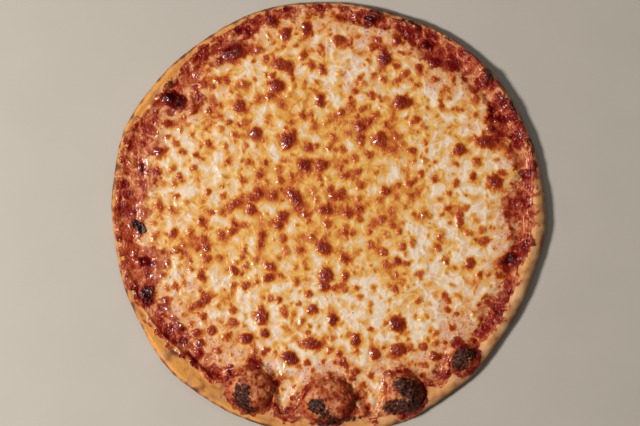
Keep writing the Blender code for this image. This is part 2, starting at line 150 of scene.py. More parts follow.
# Lesser blisters that show, with shorter rows: x, y, size across, and how dark.
LESSER_BLISTERS = (
    (-72, 153, 9, 0.9), (-62, 149, 7, 0.7), (-102, 109, 10, 0.5), (-89, 111, 9, 0.6), (-68, 109, 7, 0.6),
    (-131, 76, 8, 0.7), (-33, 150, 11, 0.85), (-17, 154, 11, 0.9), (-55, 137, 8, 0.7), (-44, 116, 7, 0.7),
    (-46, 99, 7, 0.7), (-20, 133, 9, 0.6), (-3, 119, 9, 0.75), (12, 86, 8, 0.75), (29, 88, 9, 0.75),
    (38, 139, 8, 0.7), (27, 73, 10, 0.75), (47, 113, 7, 0.65), (30, 109, 7, 0.6), (-30, 100, 7, 0.6),
    (-21, 84, 7, 0.6), (75, 122, 8, 0.75), (65, 118, 8, 0.6), (89, 113, 8, 0.75), (104, 113, 6, 0.75),
    (58, 145, 9, 1.0), (79, 74, 8, 0.7), (122, 97, 8, 0.7), (122, 83, 7, 0.6), (141, 81, 8, 0.95),
    (135, 72, 8, 0.9), (-118, 53, 7, 0.75), (-136, 53, 9, 0.75), (-109, 40, 7, 0.75), (-62, 6, 10, 0.85),
    (-137, 9, 9, 0.6), (-99, -26, 8, 0.85), (-77, -12, 8, 0.8), (-103, -5, 7, 0.6), (-76, -45, 9, 0.8),
    (-104, -49, 9, 0.7), (-144, -39, 9, 0.85), (-4, 42, 10, 0.8), (-14, 57, 7, 0.8), (-6, 31, 7, 0.75),
    (16, 34, 8, 0.8), (15, 45, 6, 0.65), (26, 37, 8, 0.7), (48, 21, 9, 0.75), (26, 15, 7, 0.75),
    (-40, -7, 9, 0.8), (-43, 18, 7, 0.75), (-56, 19, 8, 0.85), (-49, 29, 7, 0.7), (18, 2, 8, 0.85),
    (-53, -16, 8, 0.85), (-12, -16, 7, 0.7), (15, -14, 7, 0.8), (14, -34, 7, 0.7), (47, -29, 8, 0.7),
    (62, -25, 7, 0.8), (58, -36, 8, 0.8), (53, -7, 7, 0.6), (-46, -41, 10, 0.85), (-48, -50, 9, 0.85),
    (15, -49, 7, 0.8), (-26, -42, 7, 0.6), (70, 54, 9, 0.7), (123, 44, 9, 0.7), (68, 27, 9, 0.85),
    (106, 27, 8, 0.75), (100, 19, 6, 0.65), (95, 2, 6, 0.7), (94, -16, 6, 0.6), (118, -39, 10, 0.8),
    (125, -49, 7, 0.75), (116, -13, 7, 0.5), (-107, -95, 9, 0.8), (-104, -104, 7, 0.85),
    (-118, -103, 10, 0.85), (-2, -57, 10, 0.85), (15, -60, 7, 0.7), (-12, -76, 10, 0.75),
    (-20, -86, 8, 0.7), (3, -109, 7, 0.75), (13, -120, 9, 0.9), (-12, -126, 6, 0.7), (-51, -96, 8, 0.95),
    (-35, -77, 10, 0.5), (-35, -90, 7, 0.5), (89, -115, 11, 0.9), (90, -95, 8, 0.55), (-32, -159, 8, 0.9),
)

# Smaller blisters, scattered by rule.
SMALL_BLISTERS = 150
SMALL_LENGTH = (4.5, 8.5)
SMALL_SHARE = (0.6, 1.0)  # width over length
SMALL_CLEAR = 2.5
SCATTER_SEED = 11
SMALL_TONES = (0.45, 0.75)

SHAPES_OF_A_KIND = 5  # of the bits that are strewn

# Patches of the cheese that stayed white, turned gold, or run thin over the sauce.
WHITE_PATCHES = (
    (112, 30, 38, 26, -30), (146, 55, 20, 9, 90), (35, -66, 26, 34, 10), (-27, -62, 24, 16, 0),
    (-103, 28, 60, 26, 10), (-132, -38, 22, 30, 0), (-36, -138, 14, 46, 12), (-62, 122, 30, 16, 0),
    (72, -22, 34, 24, 50), (95, 100, 30, 18, -30), (-18, -118, 40, 22, 0), (84, -92, 36, 30, -20),
    (-125, -70, 22, 40, 20), (-120, 60, 30, 30, 0), (20, 118, 44, 20, 0), (130, -70, 20, 40, -25),
)
GOLD_PATCHES = (
    (-6, 14, 150, 118, -8), (-28, -26, 70, 40, 20), (56, 8, 60, 46, 0), (-98, -24, 66, 34, -10),
    (46, -44, 50, 26, -30), (30, 66, 90, 50, 0), (-40, 96, 46, 30, 20),
)
THIN_PATCHES = (
    (-92, -102, 44, 40, 0), (30, 116, 40, 30, 0), (92, 108, 34, 22, -40), (101, -84, 44, 34, -30),
    (-116, -66, 34, 46, 20), (-112, 96, 36, 50, -45), (150, -10, 16, 60, 0), (24, 140, 80, 18, 0),
    (0, -126, 60, 18, 0), (84, -120, 40, 24, 30),
)

# Pools of tomato with hardly any cheese in it.
POOL_PATCHES = (
    (107, -103, 14, 9, 20), (94, -130, 13, 9, 30), (51, -128, 7, 9, 80), (-61, -121, 10, 8, 0),
    (132, -90, 20, 8, 55), (145, -67, 24, 8, 65), (104, 124, 8, 6, 0), (87, 128, 14, 6, -35),
    (33, 157, 8, 6, 0), (15, 171, 10, 6, 0), (-77, 142, 12, 6, 25), (-120, 120, 9, 4, 45),
    (-128, 86, 8, 8, 0), (-166, 6, 8, 14, 0),
)

# Places where the dough burnt black.
CHAR_SPOTS = (
    (-69, -145, 13, 20, 0), (-67, -155, 20, 6, -25), (-8, -154, 13, 12, 0), (-2, -162, 9, 7, 0),
    (8, -168, 27, 4, 8), (66, -140, 24, 14, -30), (58, -155, 23, 12, 10), (71, -152, 12, 17, -30),
    (111, -113, 22, 12, 5), (109, -121, 13, 10, 0), (40, 164, 14, 9, -10), (69, 156, 19, 8, -24),
    (99, 144, 6, 6, 0), (130, 114, 11, 13, -45), (161, 59, 8, 12, 20), (-90, 143, 5, 5, 0),
    (-130, 108, 10, 4, 40), (-95, -132, 5, 4, 0), (153, 89, 5, 5, 0),
)
FLAKE_PLACE = (-154.5, -8.2)
FLAKE_LENGTH = 14.0
FLAKE_WIDTH = 7.5
FLAKE_TURN = -40.0

# The place that the camera looks straight down on.
VIEW_MIDDLE = (-5.6, 3.0, 0.0)

# Uneven waves round the pizza: seed, lobes to the turn and size. Then lumps and swells of the surfaces.
EDGE_WAVES = (3, (7, 11, 16), 0.35)
TOPPING_WAVES = (5, (13, 19, 27), 0.4)
SAUCE_WAVES = (8, (13, 19, 26), 0.3)
RIM_WAVES = (21, (23, 31, 41), 0.3)
BUBBLE_LUMPS = 0.06
BUBBLE_FOOT = 3.0
BUBBLE_FOOT_WIDTH = 7.5
CHEESE_LUMPS = 0.35
CHEESE_SWELLS = 0.25

# The section of the rim.
LINE_POINTS = 180
TURN_UNDER = 4.0
WIDEST_AT = 0.42  # of the rim's height
CROWN_SHARE = 0.5  # of the bare width, from the edge in to the highest line
CROWN_LIMITS = (1.4, 6.0)
TOPPINGS_LEVEL = (8.2, 0.45)  # how high the toppings lie on the rim, and how much more on a higher one
TUCKED = 5.6  # how far the rim's foot runs in under the toppings
TUCK_WIDTH = 4.0
HIDDEN_SHARES = (0.2, 0.6, 0.95)  # rings from the middle out to where a piece begins to show
CHEESE_EDGE_WIDTH = 5.0
CHEESE_SKIN = 0.25  # how thinly the cheese's edge lies on the sauce
MEETING_WIDTH = 8.0
HALO = 5.5  # how far a blister's heat has coloured the cheese round it
SAUCE_LIFT = 0.9
SAUCE_CLIMB = 1.0
SAUCE_CLIMB_WIDTH = 7.0
SAUCE_SINK = 2.2  # how far the sauce's own edge dips into the dough
LEAST_SAUCE = 2.6


def smooth(share):
    """A step from 0 to 1 that starts and ends level."""
    share = np.clip(share, 0.0, 1.0)
    return share * share * (3.0 - 2.0 * share)


def around(angles, column):
    """One column of the rim's stations at any angles, eased from each station to the next."""
    places = np.array([row[0] for row in RIM_STATIONS] + [RIM_STATIONS[0][0] + 360.0])
    values = np.array([row[column] for row in RIM_STATIONS] + [RIM_STATIONS[0][column]])
    angles = np.mod(angles, 360.0)
    after = np.clip(np.searchsorted(places, angles, side="right"), 1, len(places) - 1)
    share = (angles - places[after - 1]) / (places[after] - places[after - 1])
    return values[after - 1] + (values[after] - values[after - 1]) * smooth(share)


def wobble(angles, seed, lobes, size):
    """An uneven wave round the pizza: the sum of a few waves, each with that many lobes to the turn."""
    draw = random.Random(seed)
    total = np.zeros_like(angles, dtype=float)
    for lobe in lobes:
        phase = draw.uniform(0.0, 2.0 * math.pi)
        total += np.sin(np.radians(angles) * lobe + phase)
    return size * total / math.sqrt(len(lobes))


def outline_radius(angles):
    return ACROSS / 2 + around(angles, BULGE) + wobble(angles, *EDGE_WAVES)


def bubble_notch(angles):
    """How far the great bubbles push the toppings in from the rim, at each angle."""
    notch = np.zeros_like(angles, dtype=float)
    for x, y, length, width, _, _ in BUBBLES:
        away = math.hypot(x, y)
        half = math.degrees(math.asin(0.5 * length / away))
        off = (angles - math.degrees(math.atan2(y, x)) + 180.0) % 360.0 - 180.0
        inner = away - width / 2
        depth = outline_radius(angles) - around(angles, BARE_WIDTH) - inner
        notch = np.maximum(notch, depth * np.clip(1.0 - (off / half) ** 2, 0.0, 1.0) ** 0.45)
    return notch


def topping_radius(angles):
    uneven = wobble(angles, *TOPPING_WAVES)
    return outline_radius(angles) - around(angles, BARE_WIDTH) - bubble_notch(angles) + uneven


def sauce_shown(angles):
    """The width of the band of sauce outside the cheese: uneven, and narrow beside the great bubbles."""
    near_bubble = np.clip(bubble_notch(angles) / 12.0, 0.0, 1.0)
    width = around(angles, SAUCE_WIDTH) * (1.0 - near_bubble) + LEAST_SAUCE * near_bubble
    return np.maximum(LEAST_SAUCE, width * (1.0 + wobble(angles, *SAUCE_WAVES)))


def turns_of(columns):
    """That many even angles, once round."""
    return np.arange(columns) * 360.0 / columns


def at_radius(away, angles):
    return np.column_stack([away * np.cos(np.radians(angles)), away * np.sin(np.radians(angles))])


def line_round(radius):
    """A closed line of points round the pizza, at a radius that depends on the angle."""
    return at_radius(radius(ANGLES), ANGLES)


def moved_in(line, distance):
    """The closed line moved inwards, square to itself, by one distance or by one for each point."""
    along = np.roll(line, -1, axis=0) - np.roll(line, 1, axis=0)
    along /= np.linalg.norm(along, axis=1, keepdims=True)
    inward = np.column_stack([-along[:, 1], along[:, 0]])
    return line + inward * np.reshape(distance, (-1, 1))


def eased(line):
    """The closed line with each point moved towards its neighbours, which rounds its tight corners."""
    return (np.roll(line, -1, axis=0) + 2.0 * line + np.roll(line, 1, axis=0)) / 4.0


def inside_by(line, points):
    """How far each point lies inside a closed line, and less than nothing outside it."""
    found = np.empty(len(points))
    ahead = np.roll(line, -1, axis=0)
    side = ahead - line
    run = (side * side).sum(1)
    for first in range(0, len(points), 4000):
        part = points[first : first + 4000]
        offset = part[:, None, :] - line[None, :, :]
        share = np.clip((offset * side).sum(2) / run, 0.0, 1.0)
        gap = np.linalg.norm(offset - side * share[:, :, None], axis=2).min(1)
        north = part[:, 1, None]
        spans = (line[None, :, 1] > north) != (ahead[None, :, 1] > north)
        climb = np.where(spans, ahead[None, :, 1] - line[None, :, 1], 1.0)
        crossing = line[None, :, 0] + (north - line[None, :, 1]) * side[None, :, 0] / climb
        within = (spans & (part[:, 0, None] < crossing)).sum(1) % 2 == 1
        found[first : first + 4000] = np.where(within, gap, -gap)
    return found


def off_centre(points, row):
    """0 at the middle of the ellipse that a row starts with, and 1 on its edge, growing on outside."""
    x, y, length, width, turn = row[:5]
    angle = math.radians(turn)
    east, north = points[:, 0] - x, points[:, 1] - y
    along = (east * math.cos(angle) + north * math.sin(angle)) / (length / 2)
    across = (north * math.cos(angle) - east * math.sin(angle)) / (width / 2)
    return np.hypot(along, across)


def dome(points, row):
    """1 over the middle of a row's ellipse and 0 from its edge out."""
    return np.clip(1.0 - off_centre(points, row) ** 3, 0.0, 1.0) ** 0.7


def polar(points):
    """Each point's distance from the middle, and its angle."""
    return np.hypot(points[:, 0], points[:, 1]), np.degrees(np.arctan2(points[:, 1], points[:, 0]))


def small_blisters():
    """Places for the smaller blisters, clear of the large ones and of each other."""
    draw = random.Random(SCATTER_SEED)
    placed = [(x, y, length / 2) for x, y, length, _, _, _ in BLISTERS]
    found = []
    while len(found) < SMALL_BLISTERS:
        angle = draw.uniform(0.0, 2.0 * math.pi)
        away = (ACROSS / 2) * math.sqrt(draw.random())
        length = draw.uniform(*SMALL_LENGTH)
        width = length * draw.uniform(*SMALL_SHARE)
        turn = draw.uniform(0.0, 180.0)
        x = away * math.cos(angle)
        y = away * math.sin(angle)
        if inside_by(CHEESE_EDGE, np.array([(x, y)]))[0] < length:
            continue
        if any(math.hypot(x - u, y - v) < r + length / 2 + SMALL_CLEAR for u, v, r in placed):
            continue
        placed.append((x, y, length / 2))
        found.append((x, y, length, width, turn))
    shade = random.Random(SCATTER_SEED + 1)
    return [(*row, shade.uniform(*SMALL_TONES)) for row in found]


def all_blisters():
    """Every blister: x, y, length, width, turn and tone. A scattered one gives way to a lesser one."""
    lesser = [(x, y, across, 0.85 * across, 40.0 * number, tone)
              for number, (x, y, across, tone) in enumerate(LESSER_BLISTERS)]
    small = [row for row in small_blisters()
             if all(math.hypot(row[0] - x, row[1] - y) > 0.4 * (row[2] + across)
                    for x, y, across, _, _, _ in lesser)]
    return [*BLISTERS, *lesser, *small]


def soft_waves(points, size):
    """Slow uneven waves over the whole pizza, within about 1 either way."""
    east, north = points[:, 0] / size, points[:, 1] / size
    first = np.sin(east + 1.7 * np.sin(0.6 * north + 0.4)) * np.cos(0.9 * north - 0.8)
    second = np.sin(1.7 * north - 0.9 * east + 1.2) * np.cos(1.3 * east + 0.5 * north)
    return 0.6 * first + 0.4 * second


def hashed(column, row, seed):
    """A number from 0 to 1 for each square of a grid, the same on every run."""
    mixed = (column * 374761393 + row * 668265263 + seed * 2246822519) & 0xFFFFFFFF
    mixed = ((mixed ^ (mixed >> 13)) * 1274126177) & 0xFFFFFFFF
    return ((mixed ^ (mixed >> 16)) & 0xFFFF) / 65535.0


def noise(points, size, seed):
    """Smooth noise from about -1 to 1, whose lumps lie about a size apart."""
    place = points / size
    cell = np.floor(place).astype(np.int64)
    part = place - cell
    ease = part**3 * (part * (part * 6.0 - 15.0) + 10.0)
    total = np.zeros(len(points))
    for i in (0, 1):
        for j in (0, 1):
            angle = 2.0 * math.pi * hashed(cell[:, 0] + i, cell[:, 1] + j, seed)
            slope = (part[:, 0] - i) * np.cos(angle) + (part[:, 1] - j) * np.sin(angle)
            near_x = ease[:, 0] if i else 1.0 - ease[:, 0]
            near_y = ease[:, 1] if j else 1.0 - ease[:, 1]
            total += slope * near_x * near_y
    return 1.6 * total


def pushed(points, size, reach, seed):
    """The points pushed about by smooth noise, so that a shape drawn on them turns ragged."""
    return points + reach * np.column_stack([noise(points, size, seed), noise(points, size, seed + 1)])


def cells_near(points, size):
    """The nine squares of a grid round each point: the point's place, and the square's column and row."""
    place = points / size
    cell = np.floor(place).astype(np.int64)
    for i in (-1, 0, 1):
        for j in (-1, 0, 1):
            yield place, cell[:, 0] + i, cell[:, 1] + j


def grains(points, size, seed):
    """The distance to the nearest of a scatter of grains a size apart, and that grain's random numbers."""
    nearest, first, second = 9.0 + np.zeros((3, len(points)))
    for place, column, row in cells_near(points, size):
        east, north, one, other = (hashed(column, row, seed + step) for step in range(4))
        east = column + 0.5 + 0.9 * (east - 0.5) - place[:, 0]
        north = row + 0.5 + 0.9 * (north - 0.5) - place[:, 1]
        gap = np.hypot(east, north)
        closer = gap < nearest
        nearest = np.where(closer, gap, nearest)
        first = np.where(closer, one, first)
        second = np.where(closer, other, second)
    return nearest * size, first, second


ANGLES = turns_of(LINE_POINTS)
TOPPINGS_EDGE = eased(eased(line_round(topping_radius)))
CHEESE_EDGE = moved_in(TOPPINGS_EDGE, sauce_shown(ANGLES))
OUTLINE = line_round(outline_radius)
MIDDLE = np.append((OUTLINE.min(0) + OUTLINE.max(0)) / 2, 0.0)


def line_radius(line, angles):
    """The distance from the middle out to a closed line, at any angles."""
    away, turns = polar(line)
    order = np.argsort(turns)
    return np.interp((angles + 180.0) % 360.0 - 180.0, turns[order], away[order], period=360.0)


def around_band(angles, middle, half):
    """1 near an angle, falling to 0 at half a band's width away."""
    off = np.abs((angles - middle + 180.0) % 360.0 - 180.0)
    return smooth((half - off) / (0.6 * half))


# ---------------------------------------------------------------------------------------------------------
# Heights


def crown_distance(angles):
    """How far in from the edge the rim is highest."""
    inward = np.clip(CROWN_SHARE * around(angles, BARE_WIDTH), *CROWN_LIMITS)
    return inward + 2.6 * around_band(angles, 340.0, 60.0) - 1.5 * around_band(angles, 225.0, 30.0)


def rim_top(angles):
    return around(angles, RIM_HEIGHT) + wobble(angles, *RIM_WAVES)


def patches(points, rows, fade=0.5):
    """1 inside any of the patches, falling to 0 a share of its size outside."""
    found = np.zeros(len(points))
    for row in rows:
        found = np.maximum(found, smooth((1.0 + fade - off_centre(points, row)) / (2.0 * fade)))
    return found


def past_bubbles(points):
    """How far each point lies outside the nearest of the great bubbles."""
    return np.min([(off_centre(points, row) - 1.0) * row[WIDTH] / 2 for row in BUBBLES], axis=0)


def painted_bubble_shade(points):
    """How far east of its nearest great bubble's middle each point lies, over half the bubble's length, used
    to paint shade on each bubble's east side, away from the lamp, and light on its west side.
    """
    nearest, side = 99.0 + np.zeros((2, len(points)))
    for row in BUBBLES:
        off = off_centre(points, row)
        side = np.where(off < nearest, 2.0 * (points[:, 0] - row[0]) / row[LENGTH], side)
        nearest = np.minimum(nearest, off)
    return np.clip(side, -1.0, 1.0)


def bubble_cover(points):
    """1 over the great bubbles and 0 off them."""
    return smooth((3.2 - past_bubbles(points)) / 2.6)


def bubble_foot(points):
    """How far the toppings and the dough pile up against the great bubbles, which have no sharp foot."""
    return BUBBLE_FOOT * smooth(1.0 - past_bubbles(points) / BUBBLE_FOOT_WIDTH) ** 1.5


def char_cover(points):
    """1 where the dough burnt black, with a ragged edge."""
    ragged = pushed(points, 4.0, 1.6, 301)
    inward = np.full(len(points), -9.0)
    for row in CHAR_SPOTS:
        inward = np.maximum(inward, (1.0 - off_centre(ragged, row)) * min(row[LENGTH], row[WIDTH]) / 2)
    return smooth(0.5 + (inward + 1.3 * noise(points, 2.4, 303)) / 4.2)


def with_bubbles(points, height):
    """The height of bare dough once its burnt and great bubbles have risen."""
    for row in BURNT_BUBBLES:
        height = height + row[-1] * dome(points, row)
    lumps = 1.0 + BUBBLE_LUMPS * soft_waves(points, 4.0) + 0.05 * noise(points, 9.0, 311)
    for row in BUBBLES:
        height = np.maximum(height, BASE_TOP + (row[-1] - BASE_TOP) * dome(points, row) * lumps)
    return np.maximum(height, BASE_TOP + 1.5 * bubble_foot(points))


def film_cover(points):
    """1 where the toppings run over the bare dough as a thin film, or hang on the great bubbles."""
    _, angles = polar(points)
    past = -inside_by(TOPPINGS_EDGE, points)
    reach = around(angles, FILM_WIDTH) + 4.2 * noise(points, 9.0, 433) + 2.0 * noise(points, 4.0, 434)
    bubbles = bubble_cover(pushed(points, 6.0, 2.0, 431))
    return np.maximum(smooth((reach - past) / 2.4), bubbles), reach - past


def dough_relief(points):
    """Fine relief of the baked dough: soft puffs, pimples under the film, and crackle where it burnt."""
    film, _ = film_cover(points)
    puffs = 0.3 * noise(points, 12.0, 321) + 0.1 * noise(points, 4.5, 322)
    pimples = 0.4 * noise(points, 6.0, 323) + 0.25 * noise(points, 2.9, 325)
    gap, tall, _ = grains(pushed(points, 3.0, 0.8, 324), 2.9, 326)
    plates = (0.3 + 0.9 * tall) * np.clip(1.0 - (gap / 1.8) ** 2, 0.0, 1.0) - 0.2
    return puffs + (0.6 + pimples) * film + plates * char_cover(points)


def crust_height(points):
    """The top of the dough: flat under the toppings, then the rounded rim with its bubbles."""
    away, angles = polar(points)
    inward = outline_radius(angles) - away
    crown = crown_distance(angles)
    top = rim_top(angles)
    fall = np.clip((inward - crown) / np.maximum(around(angles, BARE_WIDTH) - crown, 1.0), 0.0, 1.0)
    fall = 0.6 * fall + 0.4 * smooth(fall)
    least, share = TOPPINGS_LEVEL
    level = least + share * np.maximum(top - 9.0, 0.0)
    height = with_bubbles(points, top + (np.minimum(level, top) - top) * fall)
    step = smooth((TUCKED - inside_by(TOPPINGS_EDGE, points)) / TUCK_WIDTH)
    return BASE_TOP + (height + dough_relief(points) - BASE_TOP) * step


def rim_blend(points):
    """How dark the toppings baked together near the rim, from 0 to 1, and how far their lumps stand up."""
    _, turns = polar(points)
    ragged = pushed(points, 6.0, 2.0, 331)
    gap, tall, kind = grains(ragged, 12.5, 333)
    inward = 1.0 - gap / (3.0 + 3.2 * tall)
    lump = smooth(inward / 0.7) * (kind > 0.35)
    ring = smooth(1.0 - np.abs(inward - 0.02) / 0.3) * (kind > 0.35)
    gap, tall, other = grains(pushed(points, 3.0, 0.8, 335), 5.6, 337)
    small = np.clip(1.0 - (gap / (1.2 + 1.6 * tall)) ** 2, 0.0, 1.0) * (other > 0.5)
    outer = smooth(1.0 - inside_by(TOPPINGS_EDGE, points) / 7.0)
    oily = around_band(turns, 184.0, 20.0) * smooth(0.8 + noise(points, 9.0, 442))
    deep = around_band(turns, 155.0, 85.0)
    clouds = 0.45 - 0.1 * deep + 0.04 * outer + 0.38 * noise(ragged, 14.0, 353)
    clouds = clouds + 0.18 * noise(points, 5.5, 354)
    strands = smooth(1.0 - np.abs(noise(pushed(points, 9.0, 4.0, 345), 11.0, 346)) / 0.22)
    degree = clouds + 0.14 * ring + 0.14 * lump * (kind > 0.6) + 0.1 * small
    degree = degree - 0.38 * strands * (1.0 - 0.8 * lump)
    degree = degree + (0.36 - degree) * 0.75 * oily
    rough = 0.28 * noise(points, 4.6, 341) + 0.1 * noise(points, 2.2, 342)
    return degree, 1.6 * lump + 0.6 * small + rough


def rim_share(points, depth):
    """1 where the toppings baked together, red and brown, and 0 over clean cheese."""
    _, angles = polar(points)
    uneven = 7.0 * noise(points, 13.0, 386) + 3.5 * noise(points, 5.0, 388)
    reach = np.maximum(0.9 * sauce_shown(angles) + 5.0 - depth, 8.0 - past_bubbles(points))
    return smooth((reach + uneven) / 13.0)


def blister_rise(points, rows):
    rise = np.zeros(len(points))
    for row in rows:
        near = np.abs(points - row[:2]).max(1) < row[LENGTH]
        risen = BLISTER_RISE * row[WIDTH] * smooth((1.3 - off_centre(points[near], row)) / 0.95)
        rise[near] = np.maximum(rise[near], risen)
    return rise


def sauce_height(points):
    """The top of the sauce: flat under the cheese, lumpy where it shows, and lapping onto the dough."""
    shows = smooth((10.0 - inside_by(CHEESE_EDGE, points)) / 12.0)
    inside = inside_by(TOPPINGS_EDGE, points)
    climb = SAUCE_CLIMB * (1.0 - smooth(inside / SAUCE_CLIMB_WIDTH))
    _, lumps = rim_blend(points)
    swell = 0.25 * (1.0 + soft_waves(points, 5.0))
    rise = SAUCE_LIFT + swell + climb + lumps + bubble_foot(points)
    rise = rise + 0.6 * blister_rise(points, OUTER_BLISTERS)
    _, margin = film_cover(points)
    sink = SAUCE_SINK * smooth(1.0 - np.minimum(margin, inside + 1.8) / 2.4)
    lap = crust_height(points) - 0.3 + 0.4 * smooth((margin + 0.6) / 1.2)
    return SAUCE_TOP + shows * np.maximum(rise - sink, lap - SAUCE_TOP)


def cheese_cover(points, depth):
    """How well the cheese covers the sauce: over 1 well inside it, and under 0 where it gives out."""
    depth = depth + 3.5 + 2.4 * beside_bubbles(points)
    uneven = 1.3 * noise(pushed(points, 6.0, 2.5, 351), 9.0, 353) + 0.9 * noise(points, 4.2, 354)
    strands = 0.5 * noise(points, 2.0, 355)
    cover = (depth + 1.0) / 4.5 + uneven + strands
    return cover + 2.5 * smooth((depth - 5.0) / 6.0) - 5.0 * smooth((-depth - 1.5) / 3.5)


def beside_bubbles(points):
    """1 at the angles of the great bubbles, where the cheese runs right up to them."""
    _, angles = polar(points)
    return np.clip(bubble_notch(angles) / 9.0, 0.0, 1.0)


def browned_by(points, rows):
    """How dark each point is inside the blisters, and how far their heat has coloured it."""
    core, heat = np.zeros((2, len(points)))
    for row in rows:
        near = np.abs(points - row[:2]).max(1) < row[LENGTH] / 2 + HALO
        found = baked_past((off_centre(points[near], row) - 1.0) * row[WIDTH] / 2, row[-1])
        core[near] = np.maximum(core[near], found[0])
        heat[near] = np.maximum(heat[near], found[1])
    return core, heat


def baked_past(past, tone):
    """How dark a blister is at a distance past its edge, or inside it, and how far its heat has coloured."""
    core = tone * (0.78 + 0.22 * smooth(-past / 5.0)) * smooth((2.0 - past) / 3.6)
    return core, tone * smooth((HALO - past) / HALO)


def scattered(points, size, seed, reach, tones, kept):
    """Browned spots a size apart, each with its own reach and tone, of which a share is kept.

    Gives how dark each point is, how far the heat has coloured it, and how far the spots rise.
    """
    core, heat, rise = np.zeros((3, len(points)))
    for place, column, row in cells_near(points, size):
        east, north, wide, shade, luck = (hashed(column, row, seed + step) for step in range(5))
        east = column + 0.1 + 0.8 * east - place[:, 0]
        north = row + 0.1 + 0.8 * north - place[:, 1]
        gap = size * np.hypot(east, north)
        radius = reach[0] + (reach[1] - reach[0]) * wide
        tone = (tones[0] + (tones[1] - tones[0]) * shade) * (luck < kept)
        found = baked_past(gap - radius, tone)
        core = np.maximum(core, found[0])
        heat = np.maximum(heat, found[1])
        rise = np.maximum(rise, np.clip(1.0 - (gap / radius) ** 2, 0.0, 1.0) * tone)
    return core, heat, rise


def topping_fields(points):
    """The marks that the toppings' materials read, and how far blisters and strands stand up."""
    depth = inside_by(CHEESE_EDGE, points)
    rows = all_blisters()
    ragged = pushed(pushed(points, 5.5, 1.5, 361), 2.4, 0.6, 363)
    gold = patches(pushed(points, 16.0, 9.0, 365), GOLD_PATCHES, 0.45)
    white = patches(pushed(points, 10.0, 6.0, 371), WHITE_PATCHES, 0.4)
    sheer = patches(pushed(points, 12.0, 7.0, 381), THIN_PATCHES, 0.4)
    edge = 1.0 - smooth(depth / 32.0)
    west = smooth((-points[:, 0] - 40.0) / 60.0) + 0.8 * smooth((points[:, 1] - 50.0) / 60.0)
    strands = smooth(1.0 - np.abs(noise(pushed(points, 10.0, 4.5, 415), 10.0, 417)) / 0.26)

    known, known_heat = browned_by(ragged, rows)
    broad, broad_heat, broad_rise = scattered(ragged, 10.5, 387, (1.3, 4.0), (0.45, 0.8), 0.42 + 0.3 * edge)
    fine, fine_heat, fine_rise = scattered(ragged, 5.4, 391, (0.5, 1.7), (0.25, 0.6), 0.42 - 0.2 * gold)
    core = np.maximum.reduce([known, broad, fine]) * (1.0 - 0.1 * gold)
    heat = np.maximum.reduce([known_heat, broad_heat**1.6, fine_heat**2.5])
    baked = np.maximum(core, 0.42 * heat ** (1.8 - 0.5 * gold))
    clouds = 0.25 * noise(points, 6.5, 368) + 0.03 * noise(points, 3.0, 369)
    clouds = 0.3 * noise(points, 12.0, 367) + clouds * (1.0 - 0.5 * gold)
    lift = 0.17 + clouds + 0.12 * gold - 0.12 * white + 0.08 * edge + 0.08 * west
    lift = lift - 0.2 * strands * (1.0 - 0.5 * gold)
    baked = np.clip(baked, 0.0, 1.0)
    baked = baked + lift * (1.0 - baked)
    rim = rim_share(points, depth)
    blended, _ = rim_blend(points)
    baked = baked + (np.maximum(blended, core) - baked) * rim

    thin = 0.55 * sheer + 0.75 * edge + 0.4 * noise(points, 10.0, 383) + 0.25 * noise(points, 4.5, 384) + 0.1
    thin = thin - 0.45 * strands - 0.35 * gold - 0.2 * white
    rise = np.maximum(blister_rise(ragged, rows), 0.9 * broad_rise + 0.6 * fine_rise) + 0.35 * strands
    pool = patches(ragged, POOL_PATCHES, 0.3)
    marks = {"baked": baked, "thin": thin, "soaked": np.maximum(rim, pool), "fried": gold, "pool": pool}
    return {name: np.clip(mark, 0.0, 1.0) for name, mark in marks.items()}, rise


def cheese_fields(points):
    """The height of the cheese at each point, and the marks that its material reads."""
    depth = inside_by(CHEESE_EDGE, points)
    marks, rise = topping_fields(points)
    inner = smooth(depth / CHEESE_EDGE_WIDTH)
    thick = CHEESE_LIP + (CHEESE_THICK - CHEESE_LIP) * inner
    waves = CHEESE_LUMPS * soft_waves(points, 9.0) + CHEESE_SWELLS * soft_waves(points, 31.0)
    relief = 0.24 * noise(points, 7.5, 411) + 0.16 * noise(points, 3.8, 412) + 0.06 * noise(points, 2.2, 413)
    body = CHEESE_BOTTOM + thick + waves * inner + relief + rise + bubble_foot(points)
    skin = np.maximum(sauce_height(points), crust_height(points)) + CHEESE_SKIN
    height = skin + (np.maximum(body, skin) - skin) * smooth((depth + 1.0) / MEETING_WIDTH)
    cover = smooth(cheese_cover(points, depth) / 2.0)
    height = height - (height - skin + 2.8 * CHEESE_SKIN) * (1.0 - cover)
    return height, {**marks, "cover": cover}


# ---------------------------------------------------------------------------------------------------------
# Meshes


def new_piece(name, points, faces, surface, marks=None):
    """A mesh object from points in millimetres. Each mark becomes an attribute that a material can read."""
    mesh = bpy.data.meshes.new(name)
    mesh.from_pydata(((points - MIDDLE) * MM).tolist(), [], faces)
    for mark, values in (marks or {}).items():
        layer = mesh.attributes.new(mark, "FLOAT", "POINT")
        layer.data.foreach_set("value", np.asarray(values, dtype=np.float32))
    mesh.shade_smooth()
    mesh.materials.append(surface)
    piece = bpy.data.objects.new(name, mesh)
    bpy.context.scene.collection.objects.link(piece)
    return piece


def shell_of(rings):
    """The points and faces of a closed shell of rings, with a pole inside the first and the last."""
    columns = len(rings[0])
    top = len(rings) * columns
    last = top - columns
    first = np.arange(columns)
    after = (first + 1) % columns
    faces = []
    for low in range(0, last, columns):
        high = low + columns
        faces += np.column_stack([low + first, high + first, high + after, low + after]).tolist()
    faces += np.column_stack([np.full(columns, top), first, after]).tolist()
    faces += np.column_stack([last + first, np.full(columns, top + 1), last + after]).tolist()
    return np.vstack([*rings, rings[0].mean(0), rings[-1].mean(0)]), faces


def ring_at(away, angles, height):
    return np.column_stack([at_radius(away, angles), height + 0.0 * angles])


